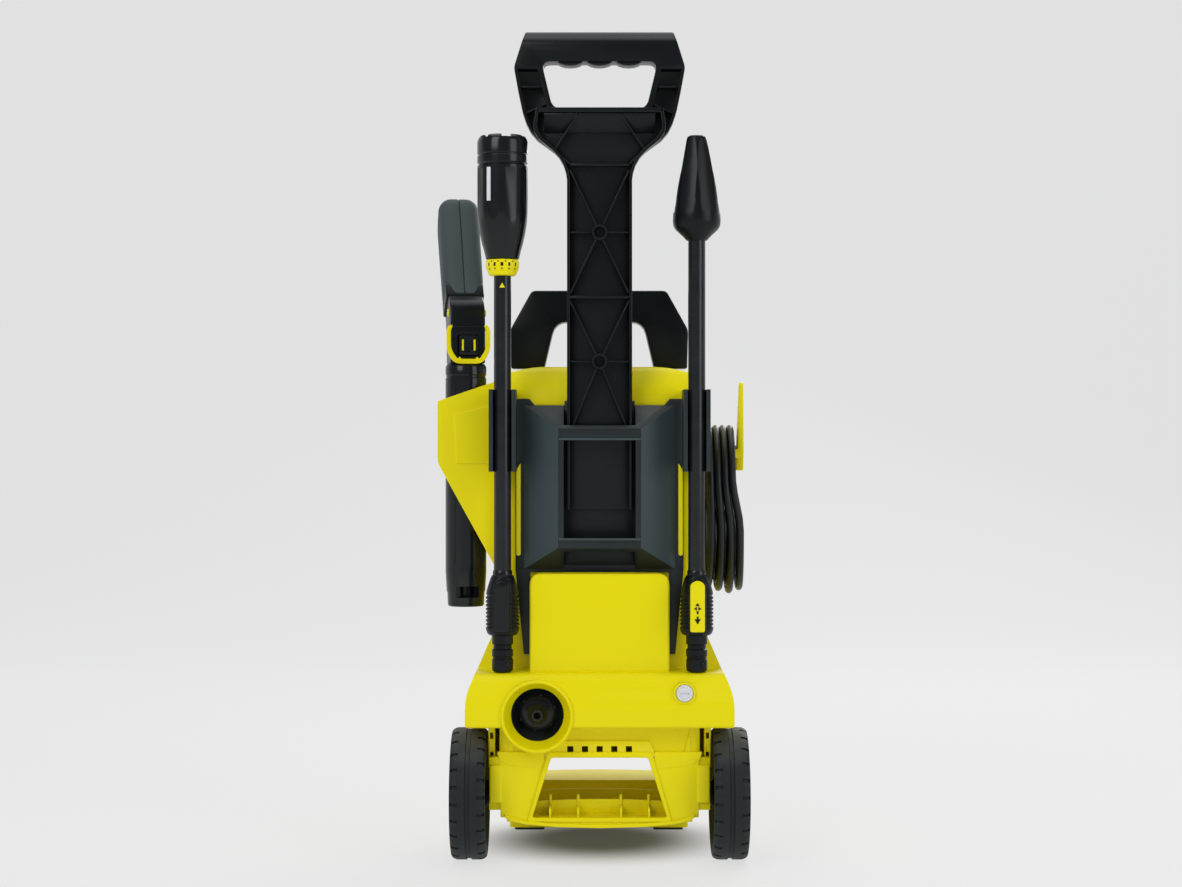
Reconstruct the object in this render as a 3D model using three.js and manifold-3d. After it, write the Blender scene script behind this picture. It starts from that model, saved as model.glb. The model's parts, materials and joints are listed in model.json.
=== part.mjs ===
// Upright electric pressure washer with a telescopic pull handle, two spray lances, a trigger gun and a
// coiled cable.
// Millimetres, +Z up. The rear, which carries the lances, faces -Y; the wheels stand on z = 0.
import * as THREE from 'three';
import { mergeVertices } from 'three/addons/utils/BufferGeometryUtils.js';
import Module from 'manifold-3d';

const wasm = await Module();
wasm.setup();

// Driving dimensions.
const GAP = 0.3;                    // between touching pieces
const WALL = 3;                     // moulded shells
const LONG = 400;                   // longer than any piece that a cutter passes through

const WHEEL = { radius: 61.5, x: 121.7, bore: 6.4 };
const AXLE = { y: -65, z: WHEEL.radius, radius: 6 };

const BODY = {
  half: 97, skirtHalf: 124, lowerHalf: 101,
  bottom: 99, lip: 128, skirtTop: 158, shelf: 178, shoulder: 219, top: 463,
  rear: -62, lowerRear: -90, skirtRear: -112, front: 95, split: 8,
};
const COVER = { half: 65, top: 269, rear: -91 };                       // yellow guide cover of the rail
const CHANNEL = { half: 33.5, rear: -86.5, front: -65.5 };             // space that the rail runs in
const RAIL = { half: 30.4, rear: -82, front: -67, bottom: 328, top: 638 };
const GRIP = { top: 778, half: 80.6, rear: -69.5, front: -46, bottom: 690, holeTop: 747, holeBottom: 703 };

const ARCH = { topHalf: 45, bottomHalf: 63, bottom: 43 };              // opening in the base
const FRAME = { half: 92, bottom: 34, rear: -94, top: BODY.bottom - GAP };
// The heel stands on the ground.
const FOOT = { half: 90, rear: 46, heel: 88, front: 116, bottom: 3, top: 57 };

const FUNNEL = { x: -57.6, z: 139, radius: 33.5, mouth: -114, depth: 40 };
const PLUG = { x: 78, z: 160.5, radius: 8 };                           // detergent port
const LANCE = { x: 90, y: -94, tube: 8, bottom: BODY.shelf + GAP };
const GUN = { x: -127.5, y: -30, radius: 19.5, bottom: 235, yaw: 10 };
const HOOK = { y: -10, half: 12, arm: 384.2, blade: 131.7, outer: 138.5, tip: 449, foot: 364 };
const CABLE = { diameter: 6.6, sides: 10 };
const COIL = { y: -10, z: 329, halfDepth: 56, halfHeight: 79, thick: 20, inner: 101.5, outer: 139 };
// Where the cable leaves the casing, turned rearwards.
const GLAND = { x: 106, y: 78, z: 263, tip: 46 };
const MAINS = { x: 122, y: 64, top: 325, radius: 16 };                 // mains plug
const MOTOR = { x: 0, y: 15, radius: 44, bottom: 262, top: 372 };
const OUTLET_Z = 150;
const KNOB_Z = 300;

const DEG = Math.PI / 180;
const washer = new THREE.Group();

// --- solids
// -------------------------------------------------------------------------------------------------------

// A closed geometry as a solid, its faces turned out if they point in.
function solid(geometry) {
  const bare = geometry.clone();
  bare.deleteAttribute('normal');
  bare.deleteAttribute('uv');
  const merged = mergeVertices(bare, 1e-3);
  const turned = (triangles) => new wasm.Manifold(new wasm.Mesh({
    numProp: 3, vertProperties: merged.attributes.position.array, triVerts: triangles,
  }));
  const triangles = new Uint32Array(merged.index.array);
  const made = turned(triangles);
  return made.volume() > 0 ? made : turned(triangles.reverse());
}

// The named mesh of a solid, in the group or pivot given.
function piece(name, made, material, parent = washer) {
  const { numProp, vertProperties, triVerts } = made.getMesh();
  const points = [];
  for (let i = 0; i < vertProperties.length; i += numProp) points.push(...vertProperties.slice(i, i + 3));
  const geometry = new THREE.BufferGeometry();
  geometry.setAttribute('position', new THREE.Float32BufferAttribute(points, 3));
  geometry.setIndex([...triVerts]);
  geometry.computeVertexNormals();
  const mesh = new THREE.Mesh(geometry, material);
  mesh.name = name;
  parent.add(mesh);
  return mesh;
}

const join = (...solids) => solids.reduce((a, b) => a.add(b));
const cut = (body, ...tools) => tools.reduce((a, b) => a.subtract(b), body);
const common = (...solids) => solids.reduce((a, b) => a.intersect(b));

// A box between two corners.
function box(x0, x1, y0, y1, z0, z1) {
  const geometry = new THREE.BoxGeometry(x1 - x0, y1 - y0, z1 - z0);
  geometry.translate((x0 + x1) / 2, (y0 + y1) / 2, (z0 + z1) / 2);
  return solid(geometry);
}

// A shape through points, each corner rounded to the radius given third in it.
function outline(points) {
  const shape = new THREE.Shape();
  const at = (i) => new THREE.Vector2(...points[(i + points.length) % points.length]);
  points.forEach(([, , radius = 0], i) => {
    const corner = at(i);
    const before = at(i - 1).sub(corner).setLength(radius).add(corner);
    const after = at(i + 1).sub(corner).setLength(radius).add(corner);
    if (i === 0) shape.moveTo(before.x, before.y);
    else shape.lineTo(before.x, before.y);
    if (radius) shape.quadraticCurveTo(corner.x, corner.y, after.x, after.y);
  });
  return shape;
}

// The right half of an outline, from bottom to top, with its mirror image.
const mirrored = (half) => [...half, ...half.map(([x, ...rest]) => [-x, ...rest]).reverse()];

// An outline drawn in the plane across an axis ('x': y,z; 'y': x,z; 'z': x,y), between two places on that
// axis.
function prism(axis, points, from, to, steps = 4) {
  const shape = points instanceof THREE.Shape ? points : outline(points);
  const geometry = new THREE.ExtrudeGeometry(shape, { depth: to - from, bevelEnabled: false,
    curveSegments: steps });
  if (axis === 'z') geometry.translate(0, 0, from);
  if (axis === 'y') geometry.rotateX(Math.PI / 2).translate(0, to, 0);
  if (axis === 'x') {
    const [x, y, z] = [[1, 0, 0], [0, 1, 0], [0, 0, 1]].map((v) => new THREE.Vector3(...v));
    geometry.applyMatrix4(new THREE.Matrix4().makeBasis(y, z, x)).translate(from, 0, 0);
  }
  return solid(geometry);
}

// A turned piece: radius and place pairs along an axis through a centre.
function turned(axis, profile, centre = [0, 0, 0], sides = 24) {
  const geometry = new THREE.LatheGeometry(profile.map(([r, h]) => new THREE.Vector2(r, h)), sides);
  if (axis === 'z') geometry.rotateX(Math.PI / 2);
  if (axis === 'x') geometry.rotateZ(-Math.PI / 2);
  geometry.translate(...centre);
  return solid(geometry);
}

// A plain round rod along an axis, between two places on it.
const rod = (axis, radius, from, to, centre = [0, 0, 0], sides = 24) =>
  turned(axis, [[0, from], [radius, from], [radius, to], [0, to]], centre, sides);

const plastic = (color, roughness = 0.4) => new THREE.MeshStandardMaterial({ color, roughness });
const metal = (color, roughness = 0.35) => new THREE.MeshStandardMaterial({ color, roughness, metalness: 1 });
const YELLOW = 0xf2e300;
const BLACK = 0x14191b;
const SLATE = 0x2b3538;

// --- casing
// -------------------------------------------------------------------------------------------------------

// The casing's outline seen from behind, drawn in by a wall.
function rearOutline(inset) {
  return mirrored([
    [BODY.lowerHalf - inset, BODY.bottom + inset],
    [BODY.lowerHalf - inset, BODY.lip + inset],
    [BODY.skirtHalf - inset, BODY.lip + inset],
    [BODY.skirtHalf - inset, BODY.skirtTop, 12],
    [BODY.half - inset, BODY.shoulder, 12],
    [BODY.half - inset, BODY.top - 8 - inset, 18],
    [60, BODY.top - inset],
  ]);
}

// The casing's outline seen from the side, drawn in by a wall.
function sideOutline(inset) {
  return [
    [BODY.lowerRear + inset, BODY.bottom + inset],
    [BODY.front - inset, BODY.bottom + inset, 8],
    [BODY.front - inset, BODY.top - 55, 30],
    [BODY.front - 28 - inset, BODY.top - inset, 14],
    [BODY.rear + 17 + inset, BODY.top - inset, 4],
    [BODY.rear + inset, BODY.top - 26, 8],
    [BODY.rear + inset, BODY.shelf - inset],
    [BODY.skirtRear + 6 + inset, BODY.shelf - inset, 5],
    [BODY.skirtRear + inset, BODY.lip + 22],
    [BODY.skirtRear + inset, BODY.lip + inset],
    [BODY.lowerRear + inset, BODY.lip + inset],
  ];
}

const casingSolid = (inset) =>
  common(prism('y', rearOutline(inset), -LONG, LONG), prism('x', sideOutline(inset), -LONG, LONG));

function coverSolid(inset) {
  const side = COVER.half - inset;
  return prism('y', mirrored([[side, BODY.shelf - 8], [side, COVER.top - inset, 8]]), COVER.rear + inset,
    BODY.rear - inset);
}

// The conical mouth that the water connector sits in.
function funnel(inset) {
  const { mouth } = FUNNEL;
  const radius = FUNNEL.radius - inset;
  const back = mouth + FUNNEL.depth - inset;
  const start = inset ? mouth - 5 : mouth;
  return turned('y', [[0, start], [radius, start], [radius, mouth + 6], [radius - 16, back], [0, back]],
    [FUNNEL.x, 0, FUNNEL.z], 32);
}

function shells() {
  const outer = join(casingSolid(0), coverSolid(0), funnel(0));
  const room = join(casingSolid(WALL), coverSolid(WALL),
    box(-58, 58, -86, -70, BODY.shelf - 12, BODY.shelf + 14));
  const closed = cut(outer, cut(room, funnel(0)));
  const open = cut(
    closed,
    funnel(WALL),
    box(-CHANNEL.half, CHANNEL.half, CHANNEL.rear, CHANNEL.front, COVER.top - 12, COVER.top + 5),
    rod('y', 11, -LONG, 0, [FUNNEL.x, 0, FUNNEL.z]),
    rod('y', PLUG.radius + GAP, -LONG, BODY.skirtRear + 20, [PLUG.x, 0, PLUG.z]),
    ...[-2, -1, 0, 1, 2].map((i) => box(i * 13.6 - 2.8, i * 13.6 + 2.8, -LONG, BODY.lowerRear + 8, 103.5,
      109.5)),
    rod('y', 12, 40, LONG, [0, 0, OUTLET_Z]),
    rod('y', 8, 40, LONG, [0, 0, KNOB_Z]),
    rod('x', 7.3, 60, LONG, [0, GLAND.y, GLAND.z]),
  );
  const rearHalf = box(-LONG, LONG, -LONG, BODY.split - GAP / 2, 0, LONG * 2);
  const frontHalf = box(-LONG, LONG, BODY.split + GAP / 2, LONG, 0, LONG * 2);
  piece('rear_shell', common(open, rearHalf), plastic(YELLOW));
  piece('front_shell', common(open, frontHalf), plastic(YELLOW));
}

// The dark panel on the rear wall: side strips, the raised pyramid with the two guide straps, and the lance
// holders.
function rearPanel() {
  const face = BODY.rear - GAP;
  const plate = prism('y', mirrored([[71, 192], [79, 272], [79, 432], [66, 432], [60, 425]]), face - 3.2,
    face, 3);
  const ridge = -91;
  const pyramid = common(
    prism('x', [[face - 3, 272], [face - 3, 426], [ridge, 404], [ridge, 293]], -LONG, LONG),
    prism('z', [[-71, face - 3], [-38.5, ridge], [38.5, ridge], [71, face - 3]], 0, LONG * 2),
  );
  const holders = [-1, 1].map((side) => cut(
    box(side * LANCE.x - 12.5, side * LANCE.x + 12.5, LANCE.y - 9, face, 364, 440),
    rod('z', LANCE.tube + 0.7, 0, LONG * 2, [side * LANCE.x, LANCE.y, 0]),
    box(side * LANCE.x - 8.7, side * LANCE.x + 8.7, -LONG, LANCE.y, 0, LONG * 2),
  ));
  const run = (rear, z0, z1) => box(-CHANNEL.half, CHANNEL.half, rear, CHANNEL.front, z0, z1);
  const made = cut(
    join(plate, pyramid, ...holders),
    run(-LONG, 407, LONG * 2),
    run(-LONG, 302, 393),
    run(CHANNEL.rear, 0, LONG * 2),
    box(-25, 25, -LONG, -87.4, 274, 287),
    box(-COVER.half - GAP, COVER.half + GAP, -LONG, 0, 0, COVER.top + GAP),
  );
  piece('rear_panel', made, plastic(SLATE, 0.35));
}

// Frame under the casing: rear arch, side walls with the axle housings, floor and front foot.
function baseFrame() {
  const hem = [[14, FRAME.bottom], [40, FRAME.bottom + 1], [70, FRAME.bottom + 3.5], [86, FRAME.bottom + 7, 4],
    [FRAME.half, FRAME.bottom + 14, 4], [FRAME.half, FRAME.top]];
  const opening = mirrored([[ARCH.bottomHalf, ARCH.bottom, 3], [ARCH.topHalf, FRAME.top + 1]]);
  const arch = cut(prism('y', mirrored(hem), FRAME.rear, FRAME.rear + 6), prism('y', opening, -LONG, LONG));
  const flank = [[FRAME.rear + 2, FRAME.bottom + 9], [FOOT.front - 20, FRAME.bottom + 4],
    [FOOT.front - 20, FOOT.top], [FOOT.front - 40, FRAME.top], [FRAME.rear + 2, FRAME.top]];
  const sides = [-1, 1].map((side) => {
    const wall = prism('x', flank, ...[side * (FRAME.half - 5), side * FRAME.half].sort((a, b) => a - b));
    const [near, far] = [side * 73, side * 102.5].sort((a, b) => a - b);
    const housing = box(near, far, FRAME.rear + 2, -42, 50, FRAME.top);
    return cut(join(wall, housing), rod('x', AXLE.radius + GAP, -LONG, LONG, [0, AXLE.y, AXLE.z]));
  });
  const floorHalf = FRAME.half - 6;
  const floor = box(-floorHalf, floorHalf, FRAME.rear + 2, FOOT.rear + 4, FRAME.bottom + 5, FRAME.bottom + 8);
  const plan = (rear) => [[-FOOT.half, rear, 4], [FOOT.half, rear, 4], [FOOT.half, FOOT.front - 8, 14],
    [0, FOOT.front + 5, 40], [-FOOT.half, FOOT.front - 8, 14]];
  const foot = cut(
    join(prism('z', plan(FOOT.rear), FRAME.bottom + 5, FOOT.top, 6),
      prism('z', plan(FOOT.heel), FOOT.bottom, FOOT.top, 6)),
    box(-FOOT.half + 5, FOOT.half - 5, FOOT.rear + 4, FOOT.heel, -1, FOOT.top - 4),
    box(-FOOT.half + 5, FOOT.half - 5, FOOT.heel + 4, FOOT.front - 20, -1, FOOT.top - 4),
  );
  piece('base_frame', join(arch, ...sides, floor, foot), plastic(YELLOW));
  for (const [side, x] of [['left', -70], ['right', 70]]) {
    const pad = [[x - 15, 92, 4], [x + 15, 92, 4], [x + 15, 104, 4], [x - 15, 104, 4]];
    piece(`rubber_foot_${side}`, prism('z', pad, 0, FOOT.bottom - GAP, 3), plastic(BLACK, 0.9));
  }
}

function wheels() {
  const tyre = [[WHEEL.bore, -18.5], [11, -18.5], [11, -16.5], [20, -13], [43, -13], [48, -16.5],
    [58.5, -16.5], [WHEEL.radius, -12], [WHEEL.radius, 12], [58.5, 16.5], [48, 16.5], [43, 12], [20, 12],
    [16.5, 16.5], [16.5, 11.5], [WHEEL.bore, 11.5], [WHEEL.bore, -18.5]];
  for (const [side, sign] of [['left', -1], ['right', 1]]) {
    const centre = [sign * WHEEL.x, AXLE.y, AXLE.z];
    const facing = (profile) => profile.map(([r, h]) => [r, sign * h]);
    piece(`wheel_${side}`, turned('x', facing(tyre), centre, 36), plastic(BLACK, 0.6));
    piece(`hub_cap_${side}`, turned('x', facing([[0, 13], [16, 13], [14.5, 16.2], [0, 16.2]]), centre),
      plastic(SLATE, 0.4));
    piece(`axle_${side}`, turned('x', facing([[0, 76], [AXLE.radius, 76], [AXLE.radius, 134.2],
      [0, 134.2]]), [0, AXLE.y, AXLE.z], 16),
      metal(0x9aa0a3));
  }
}

// Rail and grip of the telescopic handle, hollow towards the rear.
function pullHandle() {
  const side = [[RAIL.half, RAIL.bottom, 3], [RAIL.half, RAIL.top, 8], [34, 658, 8], [48, 673, 8],
    [68.5, 693, 10],
    [78, 712, 8], [GRIP.half, 742, 8], [69, GRIP.top, 5]];
  const hole = mirrored([[46, GRIP.holeBottom, 8], [54.5, GRIP.holeTop, 9]]);
  const web = common(prism('y', mirrored(side), RAIL.rear, RAIL.front),
    join(box(-LONG, LONG, -LONG, LONG, 0, GRIP.bottom), box(-62, 62, -LONG, LONG, 0, GRIP.holeBottom)));
  const { rear, front, bottom, top } = GRIP;
  const grip = cut(
    common(prism('y', mirrored(side), rear, front),
      prism('x', [[rear, bottom], [front, bottom, 9], [front, top, 9], [rear, top, 9]], -LONG, LONG)),
    prism('y', hole, -LONG, LONG),
  );
  const inside = RAIL.half - 3.2;
  const pocket = prism('y', mirrored([[inside, RAIL.bottom - 5], [inside, RAIL.top + 4, 14], [46, 692, 6]]),
    -LONG, RAIL.front - 3);
  piece('pull_handle', join(cut(web, pocket), grip), plastic(BLACK));
}

function carryHandle() {
  const foot = BODY.top + GAP;
  const made = cut(
    prism('y', mirrored([[86, foot], [87, 501, 4], [66, 540, 4]]), 18, 46),
    prism('y', mirrored([[54, foot - 1], [43, 509, 12]]), -LONG, LONG),
  );
  piece('carry_handle', made, plastic(BLACK));
}

// --- holders on the sides
// -----------------------------------------------------------------------------------------

function gunHolster() {
  const side = -BODY.half - GAP;
  const half = GUN.radius + 5;
  const block = prism('y', [[side, 271], [-153, 372, 5], [-153, 430], [side, 449]], GUN.y - half,
    GUN.y + half);
  piece('gun_holster', cut(block, rod('z', GUN.radius + 2, 0, LONG * 2, [GUN.x, GUN.y, 0])), plastic(YELLOW));
}

function cableHook() {
  const [y0, y1] = [HOOK.y - HOOK.half, HOOK.y + HOOK.half];
  const plate = box(BODY.half + GAP, BODY.half + 3.8, y0 - 4, y1 + 4, 350, HOOK.arm);
  const arm = box(BODY.half + GAP, HOOK.outer, y0, y1, HOOK.arm - 8, HOOK.arm);
  const blade = common(
    prism('y', [[HOOK.blade, HOOK.foot], [HOOK.outer, HOOK.foot], [HOOK.outer, HOOK.tip],
      [HOOK.blade + 3, HOOK.tip]], y0, y1),
    prism('x', [[y0 + 5, HOOK.foot, 4], [y1 - 5, HOOK.foot, 4], [y1, HOOK.arm], [y1 - 6, HOOK.tip, 5],
      [y0 + 6, HOOK.tip, 5], [y0, HOOK.arm]],
      0, LONG, 3),
  );
  piece('cable_hook', join(plate, arm, blade), plastic(YELLOW));
}

// --- mains cable
// --------------------------------------------------------------------------------------------------

// The cable along a smooth curve through points.
function cable(points) {
  const curve = new THREE.CatmullRomCurve3(points.map((p) => new THREE.Vector3(...p)));
  const section = new THREE.Shape();
  section.absarc(0, 0, CABLE.diameter / 2, 0, 2 * Math.PI);
  const steps = Math.max(2, Math.round(curve.getLength() / (2.5 * CABLE.diameter)) * 2);
  return solid(new THREE.ExtrudeGeometry(section, { steps, extrudePath: curve, bevelEnabled: false,
    curveSegments: CABLE.sides / 2 }));
}

function mainsCable() {
  const rubber = plastic(BLACK, 0.5);
  const { x, y, z, tip } = GLAND;
  const boss = box(BODY.half + GAP, x + 7, y - 10, y + 10, z - 9, z + 9);
  const stem = rod('x', 6.9, BODY.half - 9, BODY.half + 1, [0, y, z], 16);
  const taper = turned('y', [[0, tip], [4.4, tip], [7, y - 14], [8.5, y - 9.5], [0, y - 9.5]], [x, 0, z], 16);
  piece('cable_gland', join(boss, stem, taper), rubber);
  piece('cable_lead', cable([[x, tip - GAP, z], [x, tip - 6, z], [x - 0.4, 33, z - 0.5],
    [x - 0.8, 27, z - 1]]), rubber);
  const loop = (dy, dz) => new THREE.Shape().absellipse(COIL.y, COIL.z, dy, dz, 0, 2 * Math.PI);
  const ring = loop(COIL.halfDepth, COIL.halfHeight);
  ring.holes.push(loop(COIL.halfDepth - COIL.thick, COIL.halfHeight - COIL.thick));
  const spread = prism('y', [[COIL.inner, 240], [COIL.outer, 240], [COIL.outer, 345],
    [HOOK.blade - 0.5, 361], [HOOK.blade - 1.2, 420],
    [COIL.inner, 420]], -LONG, LONG);
  piece('cable_coil', common(prism('x', ring, COIL.inner, COIL.outer, 20), spread), rubber);
  piece('cable_tail', cable([[131.5, 46, 362], [129, 54, 352], [125, 61, 340],
    [MAINS.x, MAINS.y, MAINS.top + 6],
    [MAINS.x, MAINS.y, MAINS.top + GAP]]), rubber);
  const top = MAINS.top;
  const body = turned('z', [[0, top - 36], [MAINS.radius, top - 36], [MAINS.radius, top - 22],
    [8, top - 14], [4.5, top], [0, top]],
    [MAINS.x, MAINS.y, 0], 20);
  const pins = [-9.5, 9.5].map((dx) => rod('z', 2.4, top - 48, top - 35, [MAINS.x + dx, MAINS.y, 0], 10));
  piece('mains_plug', join(body, ...pins), rubber);
}

// --- water and drive
// ----------------------------------------------------------------------------------------------

function waterConnections() {
  const { x, z, mouth } = FUNNEL;
  piece('inlet_connector', turned('y', [[0, 8], [5.5, 8], [7.5, 18], [9, 20], [16.5, 21], [16.5, 30],
    [13, 34], [10, 35.5], [10, 58], [0, 58]],
    [x, mouth, z]), plastic(BLACK, 0.3));
  piece('detergent_plug', turned('y', [[0, -3.5], [6.6, -3.5], [PLUG.radius - 0.3, -1.5],
    [PLUG.radius - 0.3, 18], [0, 18]],
    [PLUG.x, BODY.skirtRear, PLUG.z], 20), plastic(0xf4f6f6, 0.35));
  piece('pressure_outlet', turned('y', [[0, 63], [9.5, 63], [9.5, 114], [7, 116], [7, 100], [0, 100]],
    [0, 0, OUTLET_Z], 20), metal(0xb08d57));
}

function driveUnit() {
  const steel = metal(0x8d9294);
  const cast = metal(0xa7abad, 0.5);
  const { x, y, radius, bottom, top } = MOTOR;
  const centre = [x, y, 0];
  piece('stator', turned('z', [[37, bottom + 4], [radius, bottom + 4], [radius, top - 14], [37, top - 14],
    [37, bottom + 4]], centre), steel);
  piece('motor_end_cap', turned('z', [[6, top + 4], [radius, top + 4], [radius - 6, top + 12],
    [6, top + 12], [6, top + 4]], centre), plastic(SLATE));
  piece('rotor', turned('z', [[0, 224], [5, 224], [5, bottom + 12], [35, bottom + 12], [35, top - 26],
    [5, top - 26], [5, top + 16], [0, top + 16]],
    centre), steel);
  piece('cooling_fan', turned('z', [[5.3, top - 12], [40, top - 12], [40, top - 4], [5.3, top + 1],
    [5.3, top - 12]], centre, 20), plastic(BLACK));
  piece('swash_plate', turned('z', [[0, 210], [24, 210], [24, 216], [9, 223.6], [0, 223.6]], centre, 20),
    steel);
  piece('pump_housing', turned('z', [[32, 191], [37, 191], [37, bottom], [32, bottom], [32, 191]], centre),
    cast);
  const piston = (i) => [x + 18 * Math.cos(120 * i * DEG), y + 18 * Math.sin(120 * i * DEG), 0];
  const bores = [0, 1, 2].map((i) => rod('z', 5.3, 172, LONG, piston(i), 12));
  piece('cylinder_head', cut(turned('z', [[0, 164], [37, 164], [37, 190.7], [0, 190.7]], centre), ...bores),
    cast);
  [0, 1, 2].forEach((i) => piece(`piston_${i + 1}`, rod('z', 5, 174, 209, piston(i), 12), steel));
  for (const [side, sign] of [['left', -1], ['right', 1]]) {
    const ends = [sign * 38, sign * (BODY.half - WALL - 0.5)];
    piece(`motor_mount_${side}`, box(Math.min(...ends), Math.max(...ends), y - 12, y + 12, 236, 252),
      plastic(BLACK, 0.8));
  }
  piece('switch_box', box(-22, 22, 61, 79, KNOB_Z - 18, KNOB_Z + 18), plastic(SLATE));
}

// Dark panel with the switch knob on the front.
function frontPanel() {
  const made = cut(
    prism('y', mirrored([[42, 116, 12], [56, 300, 20], [44, 396, 18]]), BODY.front + GAP, BODY.front + 4),
    rod('y', 10.5, 0, LONG, [0, 0, OUTLET_Z]),
    rod('y', 5.6, 0, LONG, [0, 0, KNOB_Z]),
  );
  piece('front_panel', made, plastic(SLATE, 0.35));
  const turning = turned('y', [[0, 80], [5, 80], [5, 99.4], [20, 99.4], [18.5, 113], [0, 113]],
    [0, 0, KNOB_Z]);
  piece('power_knob', join(turning, box(-3.5, 3.5, 105, 118, KNOB_Z - 17, KNOB_Z + 17)), plastic(YELLOW));
}

// --- spray gun
// ----------------------------------------------------------------------------------------------------

// The gun stands muzzle down in its holster; its pieces are drawn about the barrel's axis and turned
// outwards together.
function sprayGun() {
  const gun = new THREE.Group();
  gun.position.set(GUN.x, GUN.y, 0);
  gun.rotation.z = GUN.yaw * DEG;
  washer.add(gun);
  const r = GUN.radius;
  piece('gun_barrel', turned('z', [[0, 256], [12, 254], [12, GUN.bottom], [17.3, GUN.bottom], [r, 268],
    [r, 465.7], [0, 465.7]]),
    plastic(BLACK, 0.25), gun);
  const button = box(-9.7, 9.7, -LONG, -11.5, 473.5, 492.7);
  const bolt = rod('x', 4.3, -LONG, LONG, [0, 3, 515], 16);
  piece('gun_body', cut(prism('x', [[-17, 466], [18, 466], [22, 498], [30, 512], [6, 532], [-16, 512]],
    -16.5, 16.5), button, bolt),
    plastic(BLACK), gun);
  piece('gun_frame', prism('y', [[-15, 501], [-21, 501, 3], [-21, 474, 6], [-13, 466, 4], [13, 466, 4],
    [21, 474, 6], [21, 501, 3], [15, 501],
    [14.5, 472, 4], [-14.5, 472, 4]], -20.5, -17 - GAP), plastic(YELLOW), gun);
  piece('gun_release_button', box(-9, 9, -22.5, -15.5, 474, 492), plastic(BLACK, 0.3), gun);
  const grip = [[30.3, 512.3], [90, 603, 20], [62, 640, 22], [6.3, 532.3]];
  piece('gun_grip_left', prism('x', grip, -19.5, -GAP / 2, 8), plastic(0x3a4649, 0.8), gun);
  piece('gun_grip_right', prism('x', grip, GAP / 2, 19.5, 8), plastic(0x3a4649, 0.8), gun);
  piece('trigger_lock', rod('x', 4, -17.5, 19.5, [0, 3, 515], 14), plastic(YELLOW), gun);
  piece('trigger', prism('x', [[31, 494, 3], [38, 491, 3], [80, 556, 3], [74, 561, 3], [36, 504]], -8, 8,
    3), plastic(BLACK), gun);
}

// --- lances
// -------------------------------------------------------------------------------------------------------

// Connector, ribbed sleeve, its inset and the tube of one lance, up to the height given.
function lanceBody(name, x, tubeTop, insetColour) {
  const centre = [x, LANCE.y, 0];
  const foot = LANCE.bottom;
  piece(`${name}_connector`, turned('z', [[0, foot], [9, foot], [10, foot + 3], [10, 212], [0, 212]],
    centre), plastic(BLACK));
  piece(`${name}_sleeve`, turned('z', [[0, 212.3], [13, 212.3], [15.5, 217], [15.5, 247], [10.5, 266],
    [0, 266]], centre), plastic(BLACK));
  piece(`${name}_inset`, prism('y', [[x - 7, 216, 2], [x + 7, 216, 2], [x + 7, 262, 6], [x - 7, 262, 6]],
    LANCE.y - 18.2, LANCE.y - 15.8),
    plastic(insetColour));
  piece(`${name}_tube`, rod('z', LANCE.tube, 266.3, tubeTop, centre, 20), plastic(BLACK, 0.25));
}

function varioLance() {
  const centre = [-LANCE.x, LANCE.y, 0];
  lanceBody('vario', -LANCE.x, 544.7, BLACK);
  piece('vario_ring', turned('z', [[0, 545], [13, 545], [15.5, 551], [15.5, 559.7], [0, 559.7]], centre),
    plastic(YELLOW));
  piece('vario_head', turned('z', [[0, 560], [15, 560], [19.5, 576], [23, 600], [23.5, 630], [23.5, 672],
    [22, 675], [17, 675], [15, 655], [0, 655]],
    centre, 28), plastic(BLACK));
  piece('vario_nozzle', rod('z', 9, 655 + GAP, 669, centre, 14), metal(0xb08d57));
}

function blasterLance() {
  const centre = [LANCE.x, LANCE.y, 0];
  lanceBody('blaster', LANCE.x, 577.7, YELLOW);
  piece('blaster_head', turned('z', [[0, 578], [10, 578], [21, 590], [22.4, 597], [21, 615], [17, 641],
    [9.5, 672], [7.5, 675], [5.5, 675], [5, 660],
    [0, 660]], centre, 28), plastic(BLACK));
  piece('blaster_rotor', rod('z', 4, 660 + GAP, 673, centre, 12), metal(0xb08d57));
}

shells();
rearPanel();
baseFrame();
wheels();
pullHandle();
carryHandle();
gunHolster();
cableHook();
mainsCable();
waterConnections();
driveUnit();
frontPanel();
sprayGun();
varioLance();
blasterLance();

// The origin lies on the ground, under the middle of everything but the cable.
const bounds = new THREE.Box3();
washer.updateMatrixWorld(true);
const onCable = /^(cable_(gland|lead|coil|tail)|mains_plug)$/;
washer.traverse((mesh) => {
  if (mesh.isMesh && !onCable.test(mesh.name)) bounds.expandByObject(mesh, true);
});
const middle = bounds.getCenter(new THREE.Vector3());
washer.position.set(-middle.x, -middle.y, -bounds.min.z);

export default washer;
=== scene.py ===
import json
import math
import bpy
from mathutils import Matrix, Vector


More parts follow.
